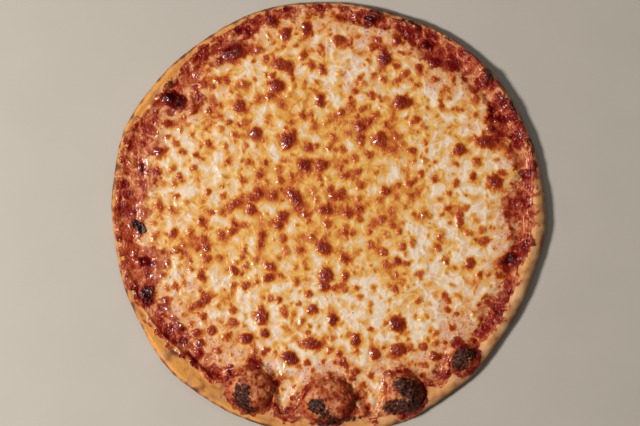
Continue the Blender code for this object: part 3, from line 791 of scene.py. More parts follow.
def rings_over(surface, inner, outer, angles, count):
    """Rings of points from one distance out to another, each laid on a surface."""
    places = [at_radius(inner + share * (outer - inner), angles) for share in np.linspace(0.0, 1.0, count)]
    return [np.column_stack([flat, surface(flat)]) for flat in places]


def angles_for(grain):
    """Even angles for points that lie a grain apart round the rim."""
    return turns_of(round(math.pi * ACROSS * MM / grain))


def make_crust(sizes, surface):
    angles = angles_for(sizes.rim_grain)
    inner = line_radius(TOPPINGS_EDGE, angles) - TUCKED - 1.5
    outline = outline_radius(angles)
    crown = crown_distance(angles)
    top = rim_top(angles)
    rings = [ring_at(inner * share, angles, BASE_TOP) for share in HIDDEN_SHARES]
    rings += rings_over(crust_height, inner, outline - crown, angles, sizes.rim_rings)
    widest = WIDEST_AT * top
    for turn in np.radians(np.arange(80.0, -91.0, -10.0)):
        reach, rise = (crown, top - widest) if turn > 0 else (TURN_UNDER, widest)
        swell = 0.3 * noise(np.column_stack([angles * 3.1, 9.0 * turn + 0.0 * angles]), 7.0, 421)
        flat = at_radius(outline - reach * (1.0 - math.cos(turn)) + swell * math.cos(turn), angles)
        height = widest + rise * math.sin(turn)
        if turn > 0.3:
            height = with_bubbles(flat, height) + dough_relief(flat) * math.sin(turn)
        rings.append(np.column_stack([flat, np.maximum(height, 0.0)]))
    shown = len(rings) - 10  # the last ten go from the widest line down
    rings += [ring_at((outline - TURN_UNDER) * share, angles, 0.0) for share in (0.97, 0.9, 0.75, 0.5, 0.2)]
    points, faces = shell_of(rings)
    upper = np.append(np.repeat(np.arange(len(rings)) < shown, len(angles)), [True, False])
    return new_piece("baked_crust", points, faces, surface, dough_marks(points[:, :2], points[:, 2], upper))


def dough_marks(flat, height, upper):
    """What the dough's material reads: how baked, burnt, oily and filmed with toppings each point is, with
    painted shade low on the wall.
    """
    film, margin = film_cover(flat)
    away, turns = polar(flat)
    left = around_band(turns, 180.0, 130.0)
    # A thin dark line along the toppings' edge, on the upper left only, laid into the char mark at half
    # strength.
    line = smooth(1.0 - np.abs(margin - 0.6) / 0.9) * smooth(noise(flat, 9.0, 435) * 2.5 - 0.1)
    line = line * around_band(turns, 152.0, 34.0)
    scaly = char_cover(flat)
    bubble = bubble_cover(flat)
    char = np.maximum(scaly, 0.5 * line * (1.0 - bubble))
    golden = smooth(1.0 - np.abs(margin + 1.0) / (3.0 + 2.0 * noise(flat, 9.0, 436)))
    golden = np.maximum(left * smooth(0.85 + 0.8 * noise(flat, 9.0, 443)), 0.5 * golden)
    spot, _, _ = scattered(pushed(flat, 3.0, 0.8, 437), 7.5, 438, (0.4, 1.8), (0.7, 1.25), 0.12 + 0.5 * left)
    # Darker low on the wall and close to the outline: partly real browning, partly painted shade where the
    # lamp lights the wall; little of it on the east side, which lies in real shade.
    outside = away - outline_radius(turns)
    toast_and_painted_shade = 0.34 * smooth((8.5 - height) / 8.0) + 0.32 * smooth((outside + 3.4) / 3.0)
    bake = 0.34 + 0.26 * noise(flat, 15.0, 439) + 0.26 * noise(flat, 6.0, 440)
    bake = bake + toast_and_painted_shade * (1.0 - 0.8 * around_band(turns, 330.0, 60.0))
    bake = bake + 0.2 * left * smooth(0.4 + noise(flat, 9.0, 442)) + 0.12 * around_band(turns, 265.0, 60.0)
    bake = np.maximum(bake, spot * upper)
    blended, _ = rim_blend(flat)
    mottled = 0.2 + 0.22 * noise(pushed(flat, 5.0, 1.5, 445), 10.0, 446) + 0.24 * noise(flat, 5.0, 448)
    specks = np.clip(noise(flat, 2.5, 447) - 0.05, 0.0, 1.0)
    # Painted shade and light: the film on each great bubble is darker on its east side, away from the lamp,
    # and lighter on its west side.
    mottled = np.maximum(mottled + 0.18 * painted_bubble_shade(flat), 0.13) + 0.55 * specks
    mottled = mottled + 0.22 * smooth((past_bubbles(flat) + 7.0) / 7.0)
    # The bake mark holds real browning, and the painted shade low on the wall.
    return {
        "film": film * upper, "char": char * upper, "golden": golden * upper,
        "scaly": smooth((scaly - 0.6) / 0.3) * upper,
        "bake": np.clip(bake, 0.0, 1.0), "underside": (height < 0.5) * 1.0,
        # on the crust, the baked mark also holds the painted shade and light of the great bubbles
        "baked": blended + (mottled - blended) * bubble, "thin": 0.0 * film, "soaked": 0.0 * film + 1.0,
        "pool": patches(pushed(flat, 5.5, 1.5, 361), POOL_PATCHES, 0.3),
    }


def make_sauce(sizes, surface):
    angles = angles_for(sizes.sauce_grain)
    outer = line_radius(TOPPINGS_EDGE, angles) + 1.6
    inner = line_radius(CHEESE_EDGE, angles) - 8.0
    rings = [ring_at(inner * share, angles, SAUCE_TOP) for share in HIDDEN_SHARES]
    rings += rings_over(sauce_height, inner, outer, angles, sizes.sauce_rings)
    rings += [ring_at(outer * share, angles, SAUCE_BOTTOM) for share in (1.0, 0.9, 0.5, 0.1)]
    points, faces = shell_of(rings)
    marks, _ = topping_fields(points[:, :2])
    return new_piece("tomato_sauce", points, faces, surface, marks)


def lattice(line, spacing):
    """Points on an even triangular grid inside a closed line, and the triangles between them."""
    low, high = line.min(0) - spacing, line.max(0) + spacing
    columns = int((high[0] - low[0]) / spacing) + 2
    rows = int((high[1] - low[1]) / (spacing * math.sqrt(0.75))) + 2
    column, row = np.meshgrid(np.arange(columns), np.arange(rows))
    east = low[0] + (column + 0.5 * (row % 2)) * spacing
    north = low[1] + row * spacing * math.sqrt(0.75)
    points = np.column_stack([east.ravel(), north.ravel()])
    number = np.arange(rows * columns).reshape(rows, columns)
    here, right = number[:-1, :-1], number[:-1, 1:]
    up, across = number[1:, :-1], number[1:, 1:]
    odd = (np.arange(rows - 1) % 2 == 1)[:, None]
    corners = ((here, right, np.where(odd, across, up)), (np.where(odd, here, right), across, up))
    triangles = np.concatenate([np.stack(three, axis=-1).reshape(-1, 3) for three in corners])
    inside = (inside_by(line, points) > 0)[triangles].all(1)
    return points, without_pinches(triangles[inside])


def without_pinches(triangles):
    """The triangles without any that meet the rest at a single corner."""
    while True:
        ends = np.concatenate([triangles[:, pair] for pair in ([0, 1], [1, 2], [2, 0])])
        ends = np.sort(ends, axis=1)
        sides, count = np.unique(ends, axis=0, return_counts=True)
        corner, met = np.unique(sides[count == 1], return_counts=True)
        pinched = corner[met > 2]
        if len(pinched) == 0:
            return triangles
        triangles = triangles[~np.isin(triangles, pinched).any(1)]


def make_cheese(sizes, surface):
    grain = sizes.cheese_grain / MM
    ring = sauce_shown(ANGLES)
    reach = 5.0 + 2.0 * np.clip((ring - 6.0) / 6.0, 0.0, 1.0)
    points, triangles = lattice(moved_in(TOPPINGS_EDGE, ring - reach), grain)
    used = np.unique(triangles)
    points = points[used]
    points = points + 0.1 * grain * np.column_stack([noise(points, 0.7, seed) for seed in (451, 452)])
    height, marks = cheese_fields(points)
    top, triangles = np.column_stack([points, height]), np.searchsorted(used, triangles)
    points, faces, edge = closed_below(top, triangles, sizes.cheese_underside / MM)
    marks = {mark: np.append(values, values[edge]) for mark, values in marks.items()}
    return new_piece("melted_cheese", points, faces, surface, marks)


def closed_below(points, triangles, bottom):
    """A sheet closed by a side all round and a flat underside: points, faces, and its edge's points by number.

    The side is made in order round the edge, so that what is strewn over the body is the same on each run.
    """
    sides = np.concatenate([triangles[:, pair] for pair in ([0, 1], [1, 2], [2, 0])]).tolist()
    known = {(start, end) for start, end in sides}
    after = {start: end for start, end in sides if (end, start) not in known}
    edge = [min(after)]
    while after[edge[-1]] != edge[0]:
        edge.append(after[edge[-1]])
    if len(edge) != len(after):
        raise RuntimeError("the sheet has more than one edge")
    foot = [len(points) + number for number in range(len(edge))]
    side = [(edge[n], edge[n - 1], foot[n - 1], foot[n]) for n in range(len(edge))]
    below = np.column_stack([points[edge, :2], np.full(len(edge), bottom)])
    return np.vstack([points, below]), [*triangles.tolist(), *side, foot[::-1]], edge


def make_flake(surface):
    """One burnt flake of cheese that lies on the sauce near the rim, curled up at its edges."""
    angles = turns_of(40)
    shape = 1.0 + wobble(angles, 71, (2, 3, 5), 0.12)
    turn = math.radians(FLAKE_TURN)
    outward = np.linspace(0.12, 1.0, 9)
    rings = []
    for share, upper in [(share, 1.0) for share in outward] + [(share, 0.0) for share in outward[::-1]]:
        east, north = (at_radius(share * shape, angles) * (FLAKE_LENGTH / 2, FLAKE_WIDTH / 2)).T
        x = FLAKE_PLACE[0] + east * math.cos(turn) - north * math.sin(turn)
        y = FLAKE_PLACE[1] + east * math.sin(turn) + north * math.cos(turn)
        flat = np.column_stack([x, y])
        lie = SAUCE_TOP + 2.8 + 0.9 * share**2 + 0.5 * noise(flat, 3.0, 461) + 0.25 * noise(flat, 1.4, 462)
        rings.append(np.column_stack([flat, lie + 0.8 * (1.0 - 0.75 * share**2) * upper]))
    return new_piece("burnt_flake", *shell_of(rings), surface)


# ---------------------------------------------------------------------------------------------------------
# Scattered bits, by Geometry Nodes

# The kinds of node that come up again and again, their settings, and the outputs that aren't the first.
MATH, MIX, RAMP, RANGE = "ShaderNodeMath", "ShaderNodeMix", "ShaderNodeValToRGB", "ShaderNodeMapRange"
NOISE, CELLS, BUMP = "ShaderNodeTexNoise", "ShaderNodeTexVoronoi", "ShaderNodeBump"
PLACE, MARK = "ShaderNodeTexCoord", "ShaderNodeAttribute"
ON_THE_PIECE = 3  # of a place node's outputs, the one in the piece's own metres
AS_NUMBER = 2  # of a mark node's outputs, the plain number
TIMES = {"operation": "MULTIPLY"}
TIMES_PLUS = {"operation": "MULTIPLY_ADD"}
CLAMPED = {"operation": "MULTIPLY_ADD", "use_clamp": True}
COLOURED = {"data_type": "RGBA"}
EASED = {"interpolation_type": "SMOOTHSTEP"}
SWINGING = {"normalize": False}  # noise that swings either side of zero


def node(tree, kind, settings=None, inputs=(), output=0):
    """Adds a node with its settings, sets or links its inputs by order or by name, and returns an output."""
    made = tree.nodes.new(kind)
    for name, value in (settings or {}).items():
        setattr(made, name, value)
    sockets = [socket for socket in made.inputs if socket.enabled]
    if isinstance(inputs, dict):
        sockets = [next(s for s in sockets if s.name == name) for name in inputs]
        inputs = inputs.values()
    for socket, value in zip(sockets, inputs):
        if isinstance(value, bpy.types.NodeSocket):
            tree.links.new(value, socket)
        elif socket.type == "RGBA":
            socket.default_value = (*value, 1.0)
        else:
            socket.default_value = value
    shown = [socket for socket in made.outputs if socket.enabled]
    return shown[output] if shown else made


def scatter_tree():
    """Strews shapes over a surface, more where a mark is high, each turned and sized at random."""
    tree = bpy.data.node_groups.new("strewn_bits", "GeometryNodeTree")
    kinds = {
        "Surface": "Geometry", "Mark": "String", "Bits per Square Metre": "Float", "Smallest": "Float",
        "Largest": "Float", "Sunk": "Float", "Seed": "Int", "Shapes": "Collection", "Finish": "Material",
    }
    for name, kind in kinds.items():
        tree.interface.new_socket(name, in_out="INPUT", socket_type="NodeSocket" + kind)
    tree.interface.new_socket("Bits", in_out="OUTPUT", socket_type="NodeSocketGeometry")
    given = tree.nodes.new("NodeGroupInput").outputs
    seed = given["Seed"]
    mark = node(tree, "GeometryNodeInputNamedAttribute", {"data_type": "FLOAT"}, (given["Mark"],))
    density = node(tree, MATH, TIMES, (mark, given["Bits per Square Metre"]))
    spread = node(
        tree, "GeometryNodeDistributePointsOnFaces", {"distribute_method": "RANDOM"},
        {"Mesh": given["Surface"], "Density": density, "Seed": seed},
    )
    facing, normal = (spread.node.outputs[name] for name in ("Rotation", "Normal"))
    lowered = node(tree, "ShaderNodeVectorMath", {"operation": "SCALE"}, (normal, given["Sunk"]))
    placed = node(tree, "GeometryNodeSetPosition", None, {"Geometry": spread, "Offset": lowered})
    spin = node(
        tree, "FunctionNodeRandomValue", {"data_type": "FLOAT_VECTOR"},
        {"Min": (-0.25, -0.25, 0.0), "Max": (0.25, 0.25, 6.283), "Seed": seed},
    )
    turned = node(tree, "FunctionNodeRotateRotation", {"rotation_space": "LOCAL"}, (facing, spin))
    size = node(
        tree, "FunctionNodeRandomValue", {"data_type": "FLOAT"},
        {"Min": given["Smallest"], "Max": given["Largest"], "Seed": seed},
    )
    shapes = node(
        tree, "GeometryNodeCollectionInfo", None,
        {"Collection": given["Shapes"], "Separate Children": True, "Reset Children": True},
    )
    strewn = node(
        tree, "GeometryNodeInstanceOnPoints", None,
        {"Points": placed, "Instance": shapes, "Pick Instance": True, "Rotation": turned, "Scale": size},
    )
    real = node(tree, "GeometryNodeRealizeInstances", None, (strewn,))
    clad = node(tree, "GeometryNodeSetMaterial", None, {"Geometry": real, "Material": given["Finish"]})
    tree.links.new(clad, tree.nodes.new("NodeGroupOutput").inputs["Bits"])
    return tree


def bit_shape(name, draw, corners, thick, domed):
    """A small closed lens, a millimetre across: flat and ragged for a flake, or round-topped for a bead."""
    ragged = 0.06 if domed else 0.3
    edge = [1.0 + draw.uniform(-ragged, ragged) for _ in range(corners)]
    lift = [0.0 if domed else draw.uniform(-0.2, 0.2) for _ in range(corners)]
    levels = ((0.45, 0.9), (0.8, 0.6), (1.0, 0.0)) if domed else ((0.55, 1.0), (1.0, 0.6), (0.9, 0.0))
    rings = []
    for share, level in levels:
        flat = at_radius(0.5 * share * np.array(edge), turns_of(corners))
        rings.append(np.column_stack([flat, thick * level + share * np.array(lift)]))
    points, faces = shell_of(rings)
    points[-2, 2] = thick
    mesh = bpy.data.meshes.new(name)
    mesh.from_pydata((points * MM).tolist(), [], faces)
    if domed:
        mesh.shade_smooth()
    return bpy.data.objects.new(name, mesh)


def strew(name, carrier, tree, seed, count, sizes, mark, shape, surface, sunk=0.0):
    """Strews a kind of bit over a carrier and returns the bits as one plain mesh."""
    draw = random.Random(seed)
    shapes = bpy.data.collections.new(name + "_shapes")
    for number in range(SHAPES_OF_A_KIND):
        shapes.objects.link(bit_shape(f"{name}_{number}", draw, *shape))
    piece = bpy.data.objects.new(name, carrier.data)
    bpy.context.scene.collection.objects.link(piece)
    modifier = piece.modifiers.new("Strewn", "NODES")
    modifier.node_group = tree
    values = {
        "Mark": mark, "Bits per Square Metre": float(count), "Smallest": sizes[0], "Largest": sizes[1],
        "Sunk": sunk * MM, "Seed": seed, "Shapes": shapes, "Finish": surface,
    }
    for item in tree.interface.items_tree:
        if item.name in values:
            modifier[item.identifier] = values[item.name]
    evaluated = piece.evaluated_get(bpy.context.evaluated_depsgraph_get())
    mesh = bpy.data.meshes.new_from_object(evaluated)
    piece.modifiers.clear()
    piece.data = mesh
    mesh.name = name
    for made in list(shapes.objects):
        bpy.data.objects.remove(made)
    bpy.data.collections.remove(shapes)
    if len(mesh.polygons) == 0:
        raise RuntimeError(f"no {name} were strewn")
    return piece


# ---------------------------------------------------------------------------------------------------------
# Materials


def linear(hex_colour):
    """An sRGB hex colour as linear red, green and blue."""
    channels = [int(hex_colour[i : i + 2], 16) / 255.0 for i in (1, 3, 5)]
    return tuple(c / 12.92 if c <= 0.04045 else ((c + 0.055) / 1.055) ** 2.4 for c in channels)


def per_metre(size):
    """A texture's scale for a pattern of that size in millimetres."""
    return 1.0 / (size * MM)


def new_material(name):
    """An empty material, its node tree, and the place on the piece that its patterns read."""
    made = bpy.data.materials.new(name)
    made.use_nodes = True
    made.node_tree.nodes.clear()
    return made, made.node_tree, node(made.node_tree, PLACE, output=ON_THE_PIECE)


def finished(made, inputs):
    """The material, once its surface has its inputs."""
    surface = node(made.node_tree, "ShaderNodeBsdfPrincipled", None, inputs)
    node(made.node_tree, "ShaderNodeOutputMaterial", None, {"Surface": surface})
    return made


def with_stops(ramp, *stops):
    """The colour ramp, once it has its stops: a place from 0 to 1 and a linear colour for each."""
    elements = ramp.node.color_ramp.elements
    while len(elements) < len(stops):
        elements.new(1.0)
    for element, (place, colour) in zip(elements, stops):
        element.position = place
        element.color = (*colour, 1.0)
    return ramp


def toppings_colour(tree, colours, place):
    """The colour anywhere on the toppings, how far they are baked there, and the noise of their curds.

    Clean cheese goes from cream, through the gold of its frying oil, to maroon where it blistered. Near the
    rim it soaked up tomato, and goes from tan, through red, to nearly black. Thin cheese shows the sauce.
    """
    baked, thin, soaked, pool = (
        node(tree, MARK, {"attribute_name": name}, output=AS_NUMBER)
        for name in ("baked", "thin", "soaked", "pool")
    )
    curds = node(tree, NOISE, SWINGING, (place, per_metre(2.4), 3.0, 0.6))
    fine = node(tree, NOISE, SWINGING, (place, per_metre(0.9), 2.0, 0.6))
    degree = node(tree, MATH, TIMES_PLUS, (curds, 0.055, baked))
    degree = node(tree, MATH, CLAMPED, (fine, 0.04, degree))
    clean = with_stops(
        node(tree, RAMP, None, (degree,)),
        (0.0, colours.cream), (0.12, colours.milky), (0.25, colours.yellow), (0.38, colours.golden),
        (0.5, colours.orange), (0.62, colours.rust), (0.76, colours.blister), (0.9, colours.core),
        (1.0, colours.darkest),
    )
    unbaked = node(tree, RANGE, None, (degree, 0.5, 0.2, 0.0, 0.85))
    sheer = node(tree, MATH, CLAMPED, (curds, 0.25, thin))
    sheer = node(tree, MATH, TIMES, (sheer, unbaked))
    clean = node(tree, MIX, COLOURED, (sheer, clean, colours.sheer))
    specks = node(tree, CELLS, None, (place, per_metre(2.6)))
    specks = node(tree, RANGE, None, (specks, 0.36, 0.2))
    holed = node(tree, RANGE, None, (sheer, 0.25, 0.65, 0.0, 0.7))
    specks = node(tree, MATH, TIMES, (specks, holed))
    clean = node(tree, MIX, COLOURED, (specks, clean, colours.speck))
    blend = with_stops(
        node(tree, RAMP, None, (degree,)),
        (0.06, colours.rim_pale), (0.2, colours.rim_tan), (0.34, colours.rim_orange),
        (0.47, colours.rim_rust), (0.6, colours.rim_red), (0.73, colours.rim_deep),
        (0.86, colours.rim_maroon), (1.0, colours.rim_black),
    )
    pools = node(tree, NOISE, SWINGING, (place, per_metre(11.0), 1.0, 0.6))
    pools = node(tree, RANGE, None, (pools, 0.1, 0.35, 0.0, 0.55))
    reddened = node(tree, RANGE, None, (degree, 0.28, 0.5))
    pools = node(tree, MATH, TIMES, (pools, reddened))
    known = node(tree, MATH, TIMES, (pool, 0.7))
    pools = node(tree, MATH, {"operation": "MAXIMUM"}, (pools, known))
    blend = node(tree, MIX, COLOURED, (pools, blend, colours.pool))
    wet = node(tree, MATH, TIMES_PLUS, (curds, 0.4, soaked))
    wet = node(tree, RANGE, EASED, (wet, 0.2, 0.8))
    return node(tree, MIX, COLOURED, (wet, clean, blend)), degree, curds


def cheese_material(colours):
    """Mozzarella, melted and browned: oily and glossy, creamy where thick, gold to maroon where it fried."""
    made, tree, place = new_material("melted_mozzarella")
    body, degree, curds = toppings_colour(tree, colours, place)
    rough = node(tree, RANGE, None, (curds, -0.4, 0.4, 0.26, 0.46))
    wrinkled = node(tree, RANGE, None, (degree, 0.25, 0.65, 0.2, 0.75))
    wrinkles = node(tree, NOISE, SWINGING, (place, per_metre(1.7), 0.6, 0.6))
    bump = node(tree, BUMP, None, {"Strength": wrinkled, "Distance": 0.45 * MM, "Height": wrinkles})
    return finished(made, {
        "Base Color": body, "Roughness": rough, "IOR": 1.46, "Specular IOR Level": 0.3, "Normal": bump,
        "Subsurface Weight": 0.1, "Subsurface Radius": (1.0, 0.55, 0.3), "Subsurface Scale": 1.5 * MM,
        "Coat Weight": 0.3, "Coat Roughness": 0.12,
    })


def sauce_material(colours):
    """Cooked tomato sauce with scraps of cheese: deep red to orange, glossy on its lumps."""
    made, tree, place = new_material("baked_tomato_sauce")
    body, _, pulp = toppings_colour(tree, colours, place)
    body = node(tree, MIX, {**COLOURED, "blend_type": "MULTIPLY"}, (1.0, body, colours.tomato))
    rough = node(tree, RANGE, None, (pulp, -0.4, 0.4, 0.2, 0.4))
    wrinkles = node(tree, NOISE, SWINGING, (place, per_metre(1.8), 0.8, 0.6))
    bump = node(tree, BUMP, None, {"Strength": 0.9, "Distance": 0.45 * MM, "Height": wrinkles})
    return finished(made, {
        "Base Color": body, "Roughness": rough, "IOR": 1.42, "Specular IOR Level": 0.3, "Normal": bump,
        "Subsurface Weight": 0.05, "Subsurface Radius": (1.0, 0.3, 0.15), "Subsurface Scale": 1.2 * MM,
        "Coat Weight": 0.3, "Coat Roughness": 0.12,
    })


def burnt_colour(tree, colours, place):
    """Charred crust or cheese, black plates with brown in the cracks between them, and those cracks."""
    grit = node(tree, NOISE, SWINGING, (place, per_metre(2.0), 3.0, 0.6))
    crackle = node(tree, CELLS, {"feature": "DISTANCE_TO_EDGE"}, (place, per_metre(2.6)))
    shade = node(tree, MATH, TIMES_PLUS, (crackle, -0.9, grit))
    shade = node(tree, RANGE, None, (shade, -0.6, 0.35))
    body = with_stops(
        node(tree, RAMP, None, (shade,)),
        (0.15, colours.char), (0.45, colours.char_brown), (0.7, colours.char_red), (0.95, colours.ash),
    )
    return body, crackle


def dough_material(colours):
    """Wheat dough baked on a hot deck: matt, tan to golden brown, filmed with toppings, burnt in spots."""
    made, tree, place = new_material("baked_wheat_dough")
    bake, film, golden, char, underside = (
        node(tree, MARK, {"attribute_name": name}, output=AS_NUMBER)
        for name in ("bake", "film", "golden", "char", "underside")
    )
    patchy = node(tree, NOISE, SWINGING, (place, per_metre(6.0), 5.0, 0.6))
    pores = node(tree, NOISE, SWINGING, (place, per_metre(1.3), 3.0, 0.6))
    blotch = node(tree, NOISE, SWINGING, (place, per_metre(2.8), 4.0, 0.6))
    seared = node(tree, MATH, TIMES, (patchy, underside))
    # The bake mark brings in the painted shade low on the dough's wall, along with the real browning.
    degree = node(tree, MATH, TIMES_PLUS, (seared, 0.9, bake))
    degree = node(tree, MATH, CLAMPED, (patchy, 0.12, degree))
    body = with_stops(
        node(tree, RAMP, None, (degree,)),
        (0.1, colours.dough_pale), (0.4, colours.dough), (0.65, colours.dough_tan),
        (0.95, colours.dough_brown),
    )
    gilt = node(tree, RANGE, None, (degree, 0.85, 0.5))
    gilt = node(tree, MATH, TIMES, (gilt, golden))
    body = node(tree, MIX, COLOURED, (gilt, body, colours.dough_oily))
    toppings, _, _ = toppings_colour(tree, colours, place)
    filmed = node(tree, MATH, TIMES_PLUS, (pores, 0.5, film))
    filmed = node(tree, RANGE, EASED, (filmed, 0.3, 0.7))
    body = node(tree, MIX, COLOURED, (filmed, body, toppings))
    burnt = node(tree, MATH, TIMES_PLUS, (blotch, char, char))
    scorched = node(tree, RANGE, EASED, (burnt, 0.05, 0.55))
    body = node(tree, MIX, COLOURED, (scorched, body, colours.scorch))
    blackened = node(tree, RANGE, EASED, (burnt, 0.4, 0.8))
    black, crackle = burnt_colour(tree, colours, place)
    body = node(tree, MIX, COLOURED, (blackened, body, black))
    glossy = node(tree, MATH, {"operation": "MAXIMUM"}, (filmed, scorched))
    glossy = node(tree, MATH, CLAMPED, (blackened, -0.6, glossy))
    rough = node(tree, RANGE, None, (glossy, 0.0, 1.0, 0.62, 0.3))
    plates = node(tree, MATH, TIMES, (crackle, blackened))
    coarse = node(tree, MATH, TIMES, (blotch, glossy))
    relief = node(tree, MATH, TIMES_PLUS, (pores, 0.35, coarse))
    relief = node(tree, MATH, TIMES_PLUS, (plates, 2.0, relief))
    bump = node(tree, BUMP, None, {"Strength": 0.7, "Distance": 0.5 * MM, "Height": relief})
    return finished(made, {
        "Base Color": body, "Roughness": rough, "IOR": 1.45, "Specular IOR Level": 0.3, "Normal": bump,
        "Subsurface Weight": 0.06, "Subsurface Radius": (1.0, 0.6, 0.35), "Subsurface Scale": 1.5 * MM,
    })


def char_material(colours):
    """Cheese and dough burnt to carbon: black, brittle and glossy on its broken faces."""
    made, tree, place = new_material("burnt_char")
    body, crackle = burnt_colour(tree, colours, place)
    rough = node(tree, RANGE, None, (crackle, 0.0, 1.0, 0.45, 0.2))
    bump = node(tree, BUMP, None, {"Strength": 0.6, "Distance": 0.4 * MM, "Height": crackle})
    return finished(
        made, {"Base Color": body, "Roughness": rough, "IOR": 1.6, "Specular IOR Level": 0.2, "Normal": bump}
    )


def speckled(name, size, detail, low, high, inputs):
    """A material of two tones, which meet in soft speckles of a size in millimetres."""
    made, tree, place = new_material(name)
    speckles = node(tree, NOISE, None, (place, per_metre(size), detail))
    body = with_stops(node(tree, RAMP, None, (speckles,)), low, high)
    return finished(made, {"Base Color": body, **inputs})


def herb_material(colours):
    """Dried oregano, crushed and baked: dull olive-brown to black."""
    tones = (0.35, colours.herb_dark), (0.7, colours.herb)
    return speckled("dried_oregano", 0.8, 2.0, *tones, {"Roughness": 0.7, "IOR": 1.4})


def oil_material(colours):
    """Beads of orange oil, fried out of the cheese: wet, and tinted by the tomato."""
    tones = (0.35, colours.oil), (0.65, colours.yellow)
    return speckled("frying_oil", 9.0, 1.0, *tones, {"Roughness": 0.06, "IOR": 1.47})


def floor_material(colours):
    """A plain pale tabletop of matt laminate."""
    tones = (0.3, tuple(0.96 * channel for channel in colours.floor)), (0.7, tuple(colours.floor))
    return speckled("matt_laminate", 60.0, 2.0, *tones, {"Roughness": 0.6})


# ---------------------------------------------------------------------------------------------------------
# Settings, operators and panel


def colour_property(name, description, hex_colour):
    return FloatVectorProperty(
        name=name, description=description, default=linear(hex_colour), subtype="COLOR", min=0.0, max=1.0
    )


def length_property(name, description, default):
    return FloatProperty(name=name, description=description, default=default, unit="LENGTH")


class PizzaSizes(bpy.types.PropertyGroup):
    """How finely the pizza is made, and how much is strewn over it"""

    cheese_grain: length_property("Cheese Grain", "Spacing of the cheese's points", 1.06 * MM)
    cheese_underside: length_property("Cheese Underside", "Height of the cheese's underside", 5.3 * MM)
    rim_grain: length_property("Rim Grain", "Spacing of the points round the rim", 1.03 * MM)
    rim_rings: IntProperty(name="Rim Rings", description="Rings of points from sauce to crown", default=44)
    sauce_grain: length_property("Sauce Grain", "Spacing of the points round the sauce", 0.98 * MM)
    sauce_rings: IntProperty(name="Sauce Rings", description="Rings of points across the sauce", default=30)
    herb_flecks: FloatProperty(name="Herb Flecks", description="Flecks to the square metre", default=500.0)
    oil_beads: FloatProperty(name="Oil Beads", description="Beads to the square metre", default=3000.0)
    char_scales: FloatProperty(
        name="Char Scales", description="Scales to the square metre of burnt dough", default=26000.0
    )


class PizzaColours(bpy.types.PropertyGroup):
    """The colours that the oven leaves on cheese, sauce and dough"""

    cream: colour_property("Cream", "Thick white cheese", "#EBD6BC")
    milky: colour_property("Milky", "Melted cheese that has not browned", "#E4C09A")
    yellow: colour_property("Yellow", "Cheese beginning to fry", "#E5B25E")
    golden: colour_property("Golden", "Cheese fried in its own oil", "#DA9540")
    orange: colour_property("Orange", "The ring round a blister", "#C66A26")
    rust: colour_property("Rust", "Half-browned cheese", "#AE461A")
    blister: colour_property("Blister", "Browned cheese", "#92300F")
    core: colour_property("Core", "The darkest middle of most blisters", "#74190A")
    darkest: colour_property("Darkest", "A blister about to burn", "#480A06")
    sheer: colour_property("Sheer", "Thin cheese with the sauce showing through", "#D8A288")
    speck: colour_property("Speck", "Pin-prick holes down to the sauce", "#96301A")
    rim_pale: colour_property("Pale Blend", "Strings of cheese in the sauce near the rim", "#D89A68")
    rim_tan: colour_property("Tan Blend", "Cheese and sauce baked together, mostly cheese", "#C07244")
    rim_orange: colour_property("Orange Blend", "The same with more sauce", "#AE5028")
    rim_rust: colour_property("Rust Blend", "The same, half sauce", "#98341A")
    rim_red: colour_property("Red Blend", "The same, mostly sauce", "#841E0C")
    rim_deep: colour_property("Deep Blend", "Sauce beginning to dry", "#660C04")
    rim_maroon: colour_property("Maroon Blend", "Sauce baked dry", "#420302")
    rim_black: colour_property("Black Blend", "Sauce about to burn", "#280201")
    pool: colour_property("Pool", "Tomato with little cheese in it", "#74090E")
    tomato: colour_property("Tomato", "What the bare sauce lets through", "#FFF0EC")
    dough_pale: colour_property("Pale Dough", "Dough least baked", "#DCAE80")
    dough: colour_property("Dough", "Baked dough", "#C68E5E")
    dough_tan: colour_property("Tan Dough", "Well baked dough", "#AC6C42")
    dough_brown: colour_property("Brown Dough", "Dough baked hard", "#6E3A1E")
    dough_oily: colour_property("Golden Dough", "Dough stained by oil", "#DF9848")
    scorch: colour_property("Scorch", "The edge of a burnt place", "#4A170C")
    char: colour_property("Char", "Burnt dough", "#0C0302")
    char_brown: colour_property("Brown Char", "Dough nearly burnt", "#240C06")
    char_red: colour_property("Red Char", "The brown between plates of char", "#451A0E")
    ash: colour_property("Ash", "The bloom on char", "#6A3420")
    herb: colour_property("Herb", "Dried herb", "#3C2E17")
    herb_dark: colour_property("Dark Herb", "Baked herb", "#150E07")
    oil: colour_property("Oil", "Orange oil", "#D0762A")
    floor: colour_property("Floor", "The table", "#B9B1A6")


class PizzaStage(bpy.types.PropertyGroup):
    """The floor, lights and camera"""

    camera_height: length_property("Camera Height", "Height of the camera over the table", 1.5)
    view_width: length_property("View Width", "Width of the view at the pizza's rim", 526.0 * MM)
    key_power: FloatProperty(name="Key Power", description="The main light", default=60.0, unit="POWER")
    key_size: length_property("Key Size", "Width of the main light", 0.4)
    fill_power: FloatProperty(
        name="Fill Power", description="The light that fills the shadows", default=6.5, unit="POWER"
    )
    sky_strength: FloatProperty(name="Sky", description="The even light all round", default=0.08)


class PIZZA_OT_bake_crust(bpy.types.Operator):
    """Makes the baked dough with its rim and bubbles"""

    bl_idname = "pizza.bake_crust"
    bl_label = "Bake Crust"

    def execute(self, context):
        piece = make_crust(context.scene.pizza_sizes, dough_material(context.scene.pizza_colours))
        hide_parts("crust")
        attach(piece, BODY)
        return {"FINISHED"}


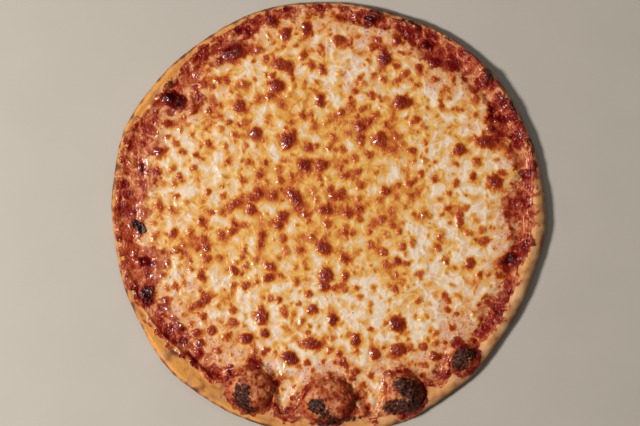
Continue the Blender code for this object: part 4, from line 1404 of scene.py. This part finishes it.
class PIZZA_OT_spread_sauce(bpy.types.Operator):
    """Makes the sauce that shows between the cheese and the rim"""

    bl_idname = "pizza.spread_sauce"
    bl_label = "Spread Sauce"

    def execute(self, context):
        piece = make_sauce(context.scene.pizza_sizes, sauce_material(context.scene.pizza_colours))
        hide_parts("sauce")
        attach(piece, BODY)
        return {"FINISHED"}


class PIZZA_OT_melt_cheese(bpy.types.Operator):
    """Makes the melted, browned cheese"""

    bl_idname = "pizza.melt_cheese"
    bl_label = "Melt Cheese"

    def execute(self, context):
        piece = make_cheese(context.scene.pizza_sizes, cheese_material(context.scene.pizza_colours))
        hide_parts("cheese")
        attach(piece, BODY)
        return {"FINISHED"}


class PIZZA_OT_strew_bits(bpy.types.Operator):
    """Strews flecks of herb, beads of oil and scales of char, and lays the burnt flake"""

    bl_idname = "pizza.strew_bits"
    bl_label = "Strew Bits"

    def execute(self, context):
        sizes, colours = context.scene.pizza_sizes, context.scene.pizza_colours
        cheese = bpy.data.objects["melted_cheese"]
        crust = bpy.data.objects["baked_crust"]
        herb, oil, char = herb_material(colours), oil_material(colours), char_material(colours)
        fleck, bead, scale = (7, 0.22, False), (8, 0.24, True), (7, 0.3, False)
        tree = scatter_tree()
        pieces = [
            strew("herb_flecks", cheese, tree, 5, sizes.herb_flecks, (0.5, 1.3), "cover", fleck, herb),
            strew("oil_beads", cheese, tree, 6, sizes.oil_beads, (0.4, 1.2), "fried", bead, oil, -0.04),
            strew("char_scales", crust, tree, 7, sizes.char_scales, (0.8, 1.8), "scaly", scale, char, -0.15),
            make_flake(char),
        ]
        for piece in pieces:
            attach(piece, BODY)
        return {"FINISHED"}


class PIZZA_OT_set_stage(bpy.types.Operator):
    """Adds the pale floor, the soft lights and the camera overhead"""

    bl_idname = "pizza.set_stage"
    bl_label = "Set Stage"

    def execute(self, context):
        scene = context.scene
        make_floor(scene)
        make_lights(scene, scene.pizza_stage)
        make_camera(scene, scene.pizza_stage)
        return {"FINISHED"}


def make_floor(scene):
    half = 2.0
    corners = [(-half, -half, 0), (half, -half, 0), (half, half, 0), (-half, half, 0)]
    mesh = bpy.data.meshes.new("table_top")
    mesh.from_pydata(corners, [], [(0, 1, 2, 3)])
    mesh.materials.append(floor_material(scene.pizza_colours))
    floor = bpy.data.objects.new("table_top", mesh)
    scene.collection.objects.link(floor)


def make_lights(scene, stage):
    """A lamp low over the left edge, a broad weak one to fill its shadows, and a faint even sky."""
    for name, turn, climb, away, power, size, tint in (
        ("key", 189.0, 50.0, 2.4, stage.key_power, stage.key_size, (1.0, 0.97, 0.93)),
        ("fill", 100.0, 66.0, 2.2, stage.fill_power, 1.8, (1.0, 0.98, 0.95)),
    ):
        lamp = bpy.data.lights.new(name, "AREA")
        lamp.energy = power
        lamp.size = size
        lamp.color = tint
        light = bpy.data.objects.new(name, lamp)
        turn, climb = math.radians(turn), math.radians(climb)
        level = math.cos(climb)
        place = Vector((math.cos(turn) * level, math.sin(turn) * level, math.sin(climb))) * away
        light.location = place
        light.rotation_euler = place.to_track_quat("Z", "Y").to_euler()
        light.visible_glossy = name == "key"
        scene.collection.objects.link(light)
    world = bpy.data.worlds.new("soft_sky")
    world.use_nodes = True
    sky = world.node_tree.nodes["Background"]
    sky.inputs["Color"].default_value = (1.0, 0.98, 0.96, 1.0)
    sky.inputs["Strength"].default_value = stage.sky_strength
    scene.world = world
    world.cycles_visibility.glossy = False
    scene.view_settings.view_transform = "Standard"


def make_camera(scene, stage):
    """A camera straight overhead, a little off the pizza's middle."""
    rim_level = 6.0 * MM
    eye = bpy.data.cameras.new("overhead")
    eye.sensor_width = 36.0
    eye.lens = eye.sensor_width * (stage.camera_height - rim_level) / stage.view_width
    camera = bpy.data.objects.new("overhead", eye)
    east, north, _ = (VIEW_MIDDLE - MIDDLE) * MM
    camera.location = (east, north, stage.camera_height)
    scene.collection.objects.link(camera)
    scene.camera = camera


OPERATORS = (
    PIZZA_OT_bake_crust, PIZZA_OT_spread_sauce, PIZZA_OT_melt_cheese, PIZZA_OT_strew_bits, PIZZA_OT_set_stage
)
GROUPS = {"pizza_sizes": PizzaSizes, "pizza_colours": PizzaColours, "pizza_stage": PizzaStage}


class PIZZA_PT_panel(bpy.types.Panel):
    """Lists the pizza's operators and settings"""

    bl_label = "Cheese Pizza"
    bl_idname = "PIZZA_PT_panel"
    bl_space_type = "VIEW_3D"
    bl_region_type = "UI"
    bl_category = "Pizza"

    def draw(self, context):
        for operator in OPERATORS:
            self.layout.operator(operator.bl_idname)
        for name, group in GROUPS.items():
            box = self.layout.box()
            for setting in group.__annotations__:
                box.prop(getattr(context.scene, name), setting)


def register():
    for made in (*GROUPS.values(), *OPERATORS, PIZZA_PT_panel):
        bpy.utils.register_class(made)
    for name, group in GROUPS.items():
        setattr(bpy.types.Scene, name, PointerProperty(type=group))


def unregister():
    for name in GROUPS:
        delattr(bpy.types.Scene, name)
    for made in reversed((*GROUPS.values(), *OPERATORS, PIZZA_PT_panel)):
        bpy.utils.unregister_class(made)


def main():
    register()
    bpy.ops.pizza.bake_crust()
    bpy.ops.pizza.spread_sauce()
    bpy.ops.pizza.melt_cheese()
    bpy.ops.pizza.strew_bits()
    bpy.ops.pizza.set_stage()


if __name__ == "__main__":
    main()
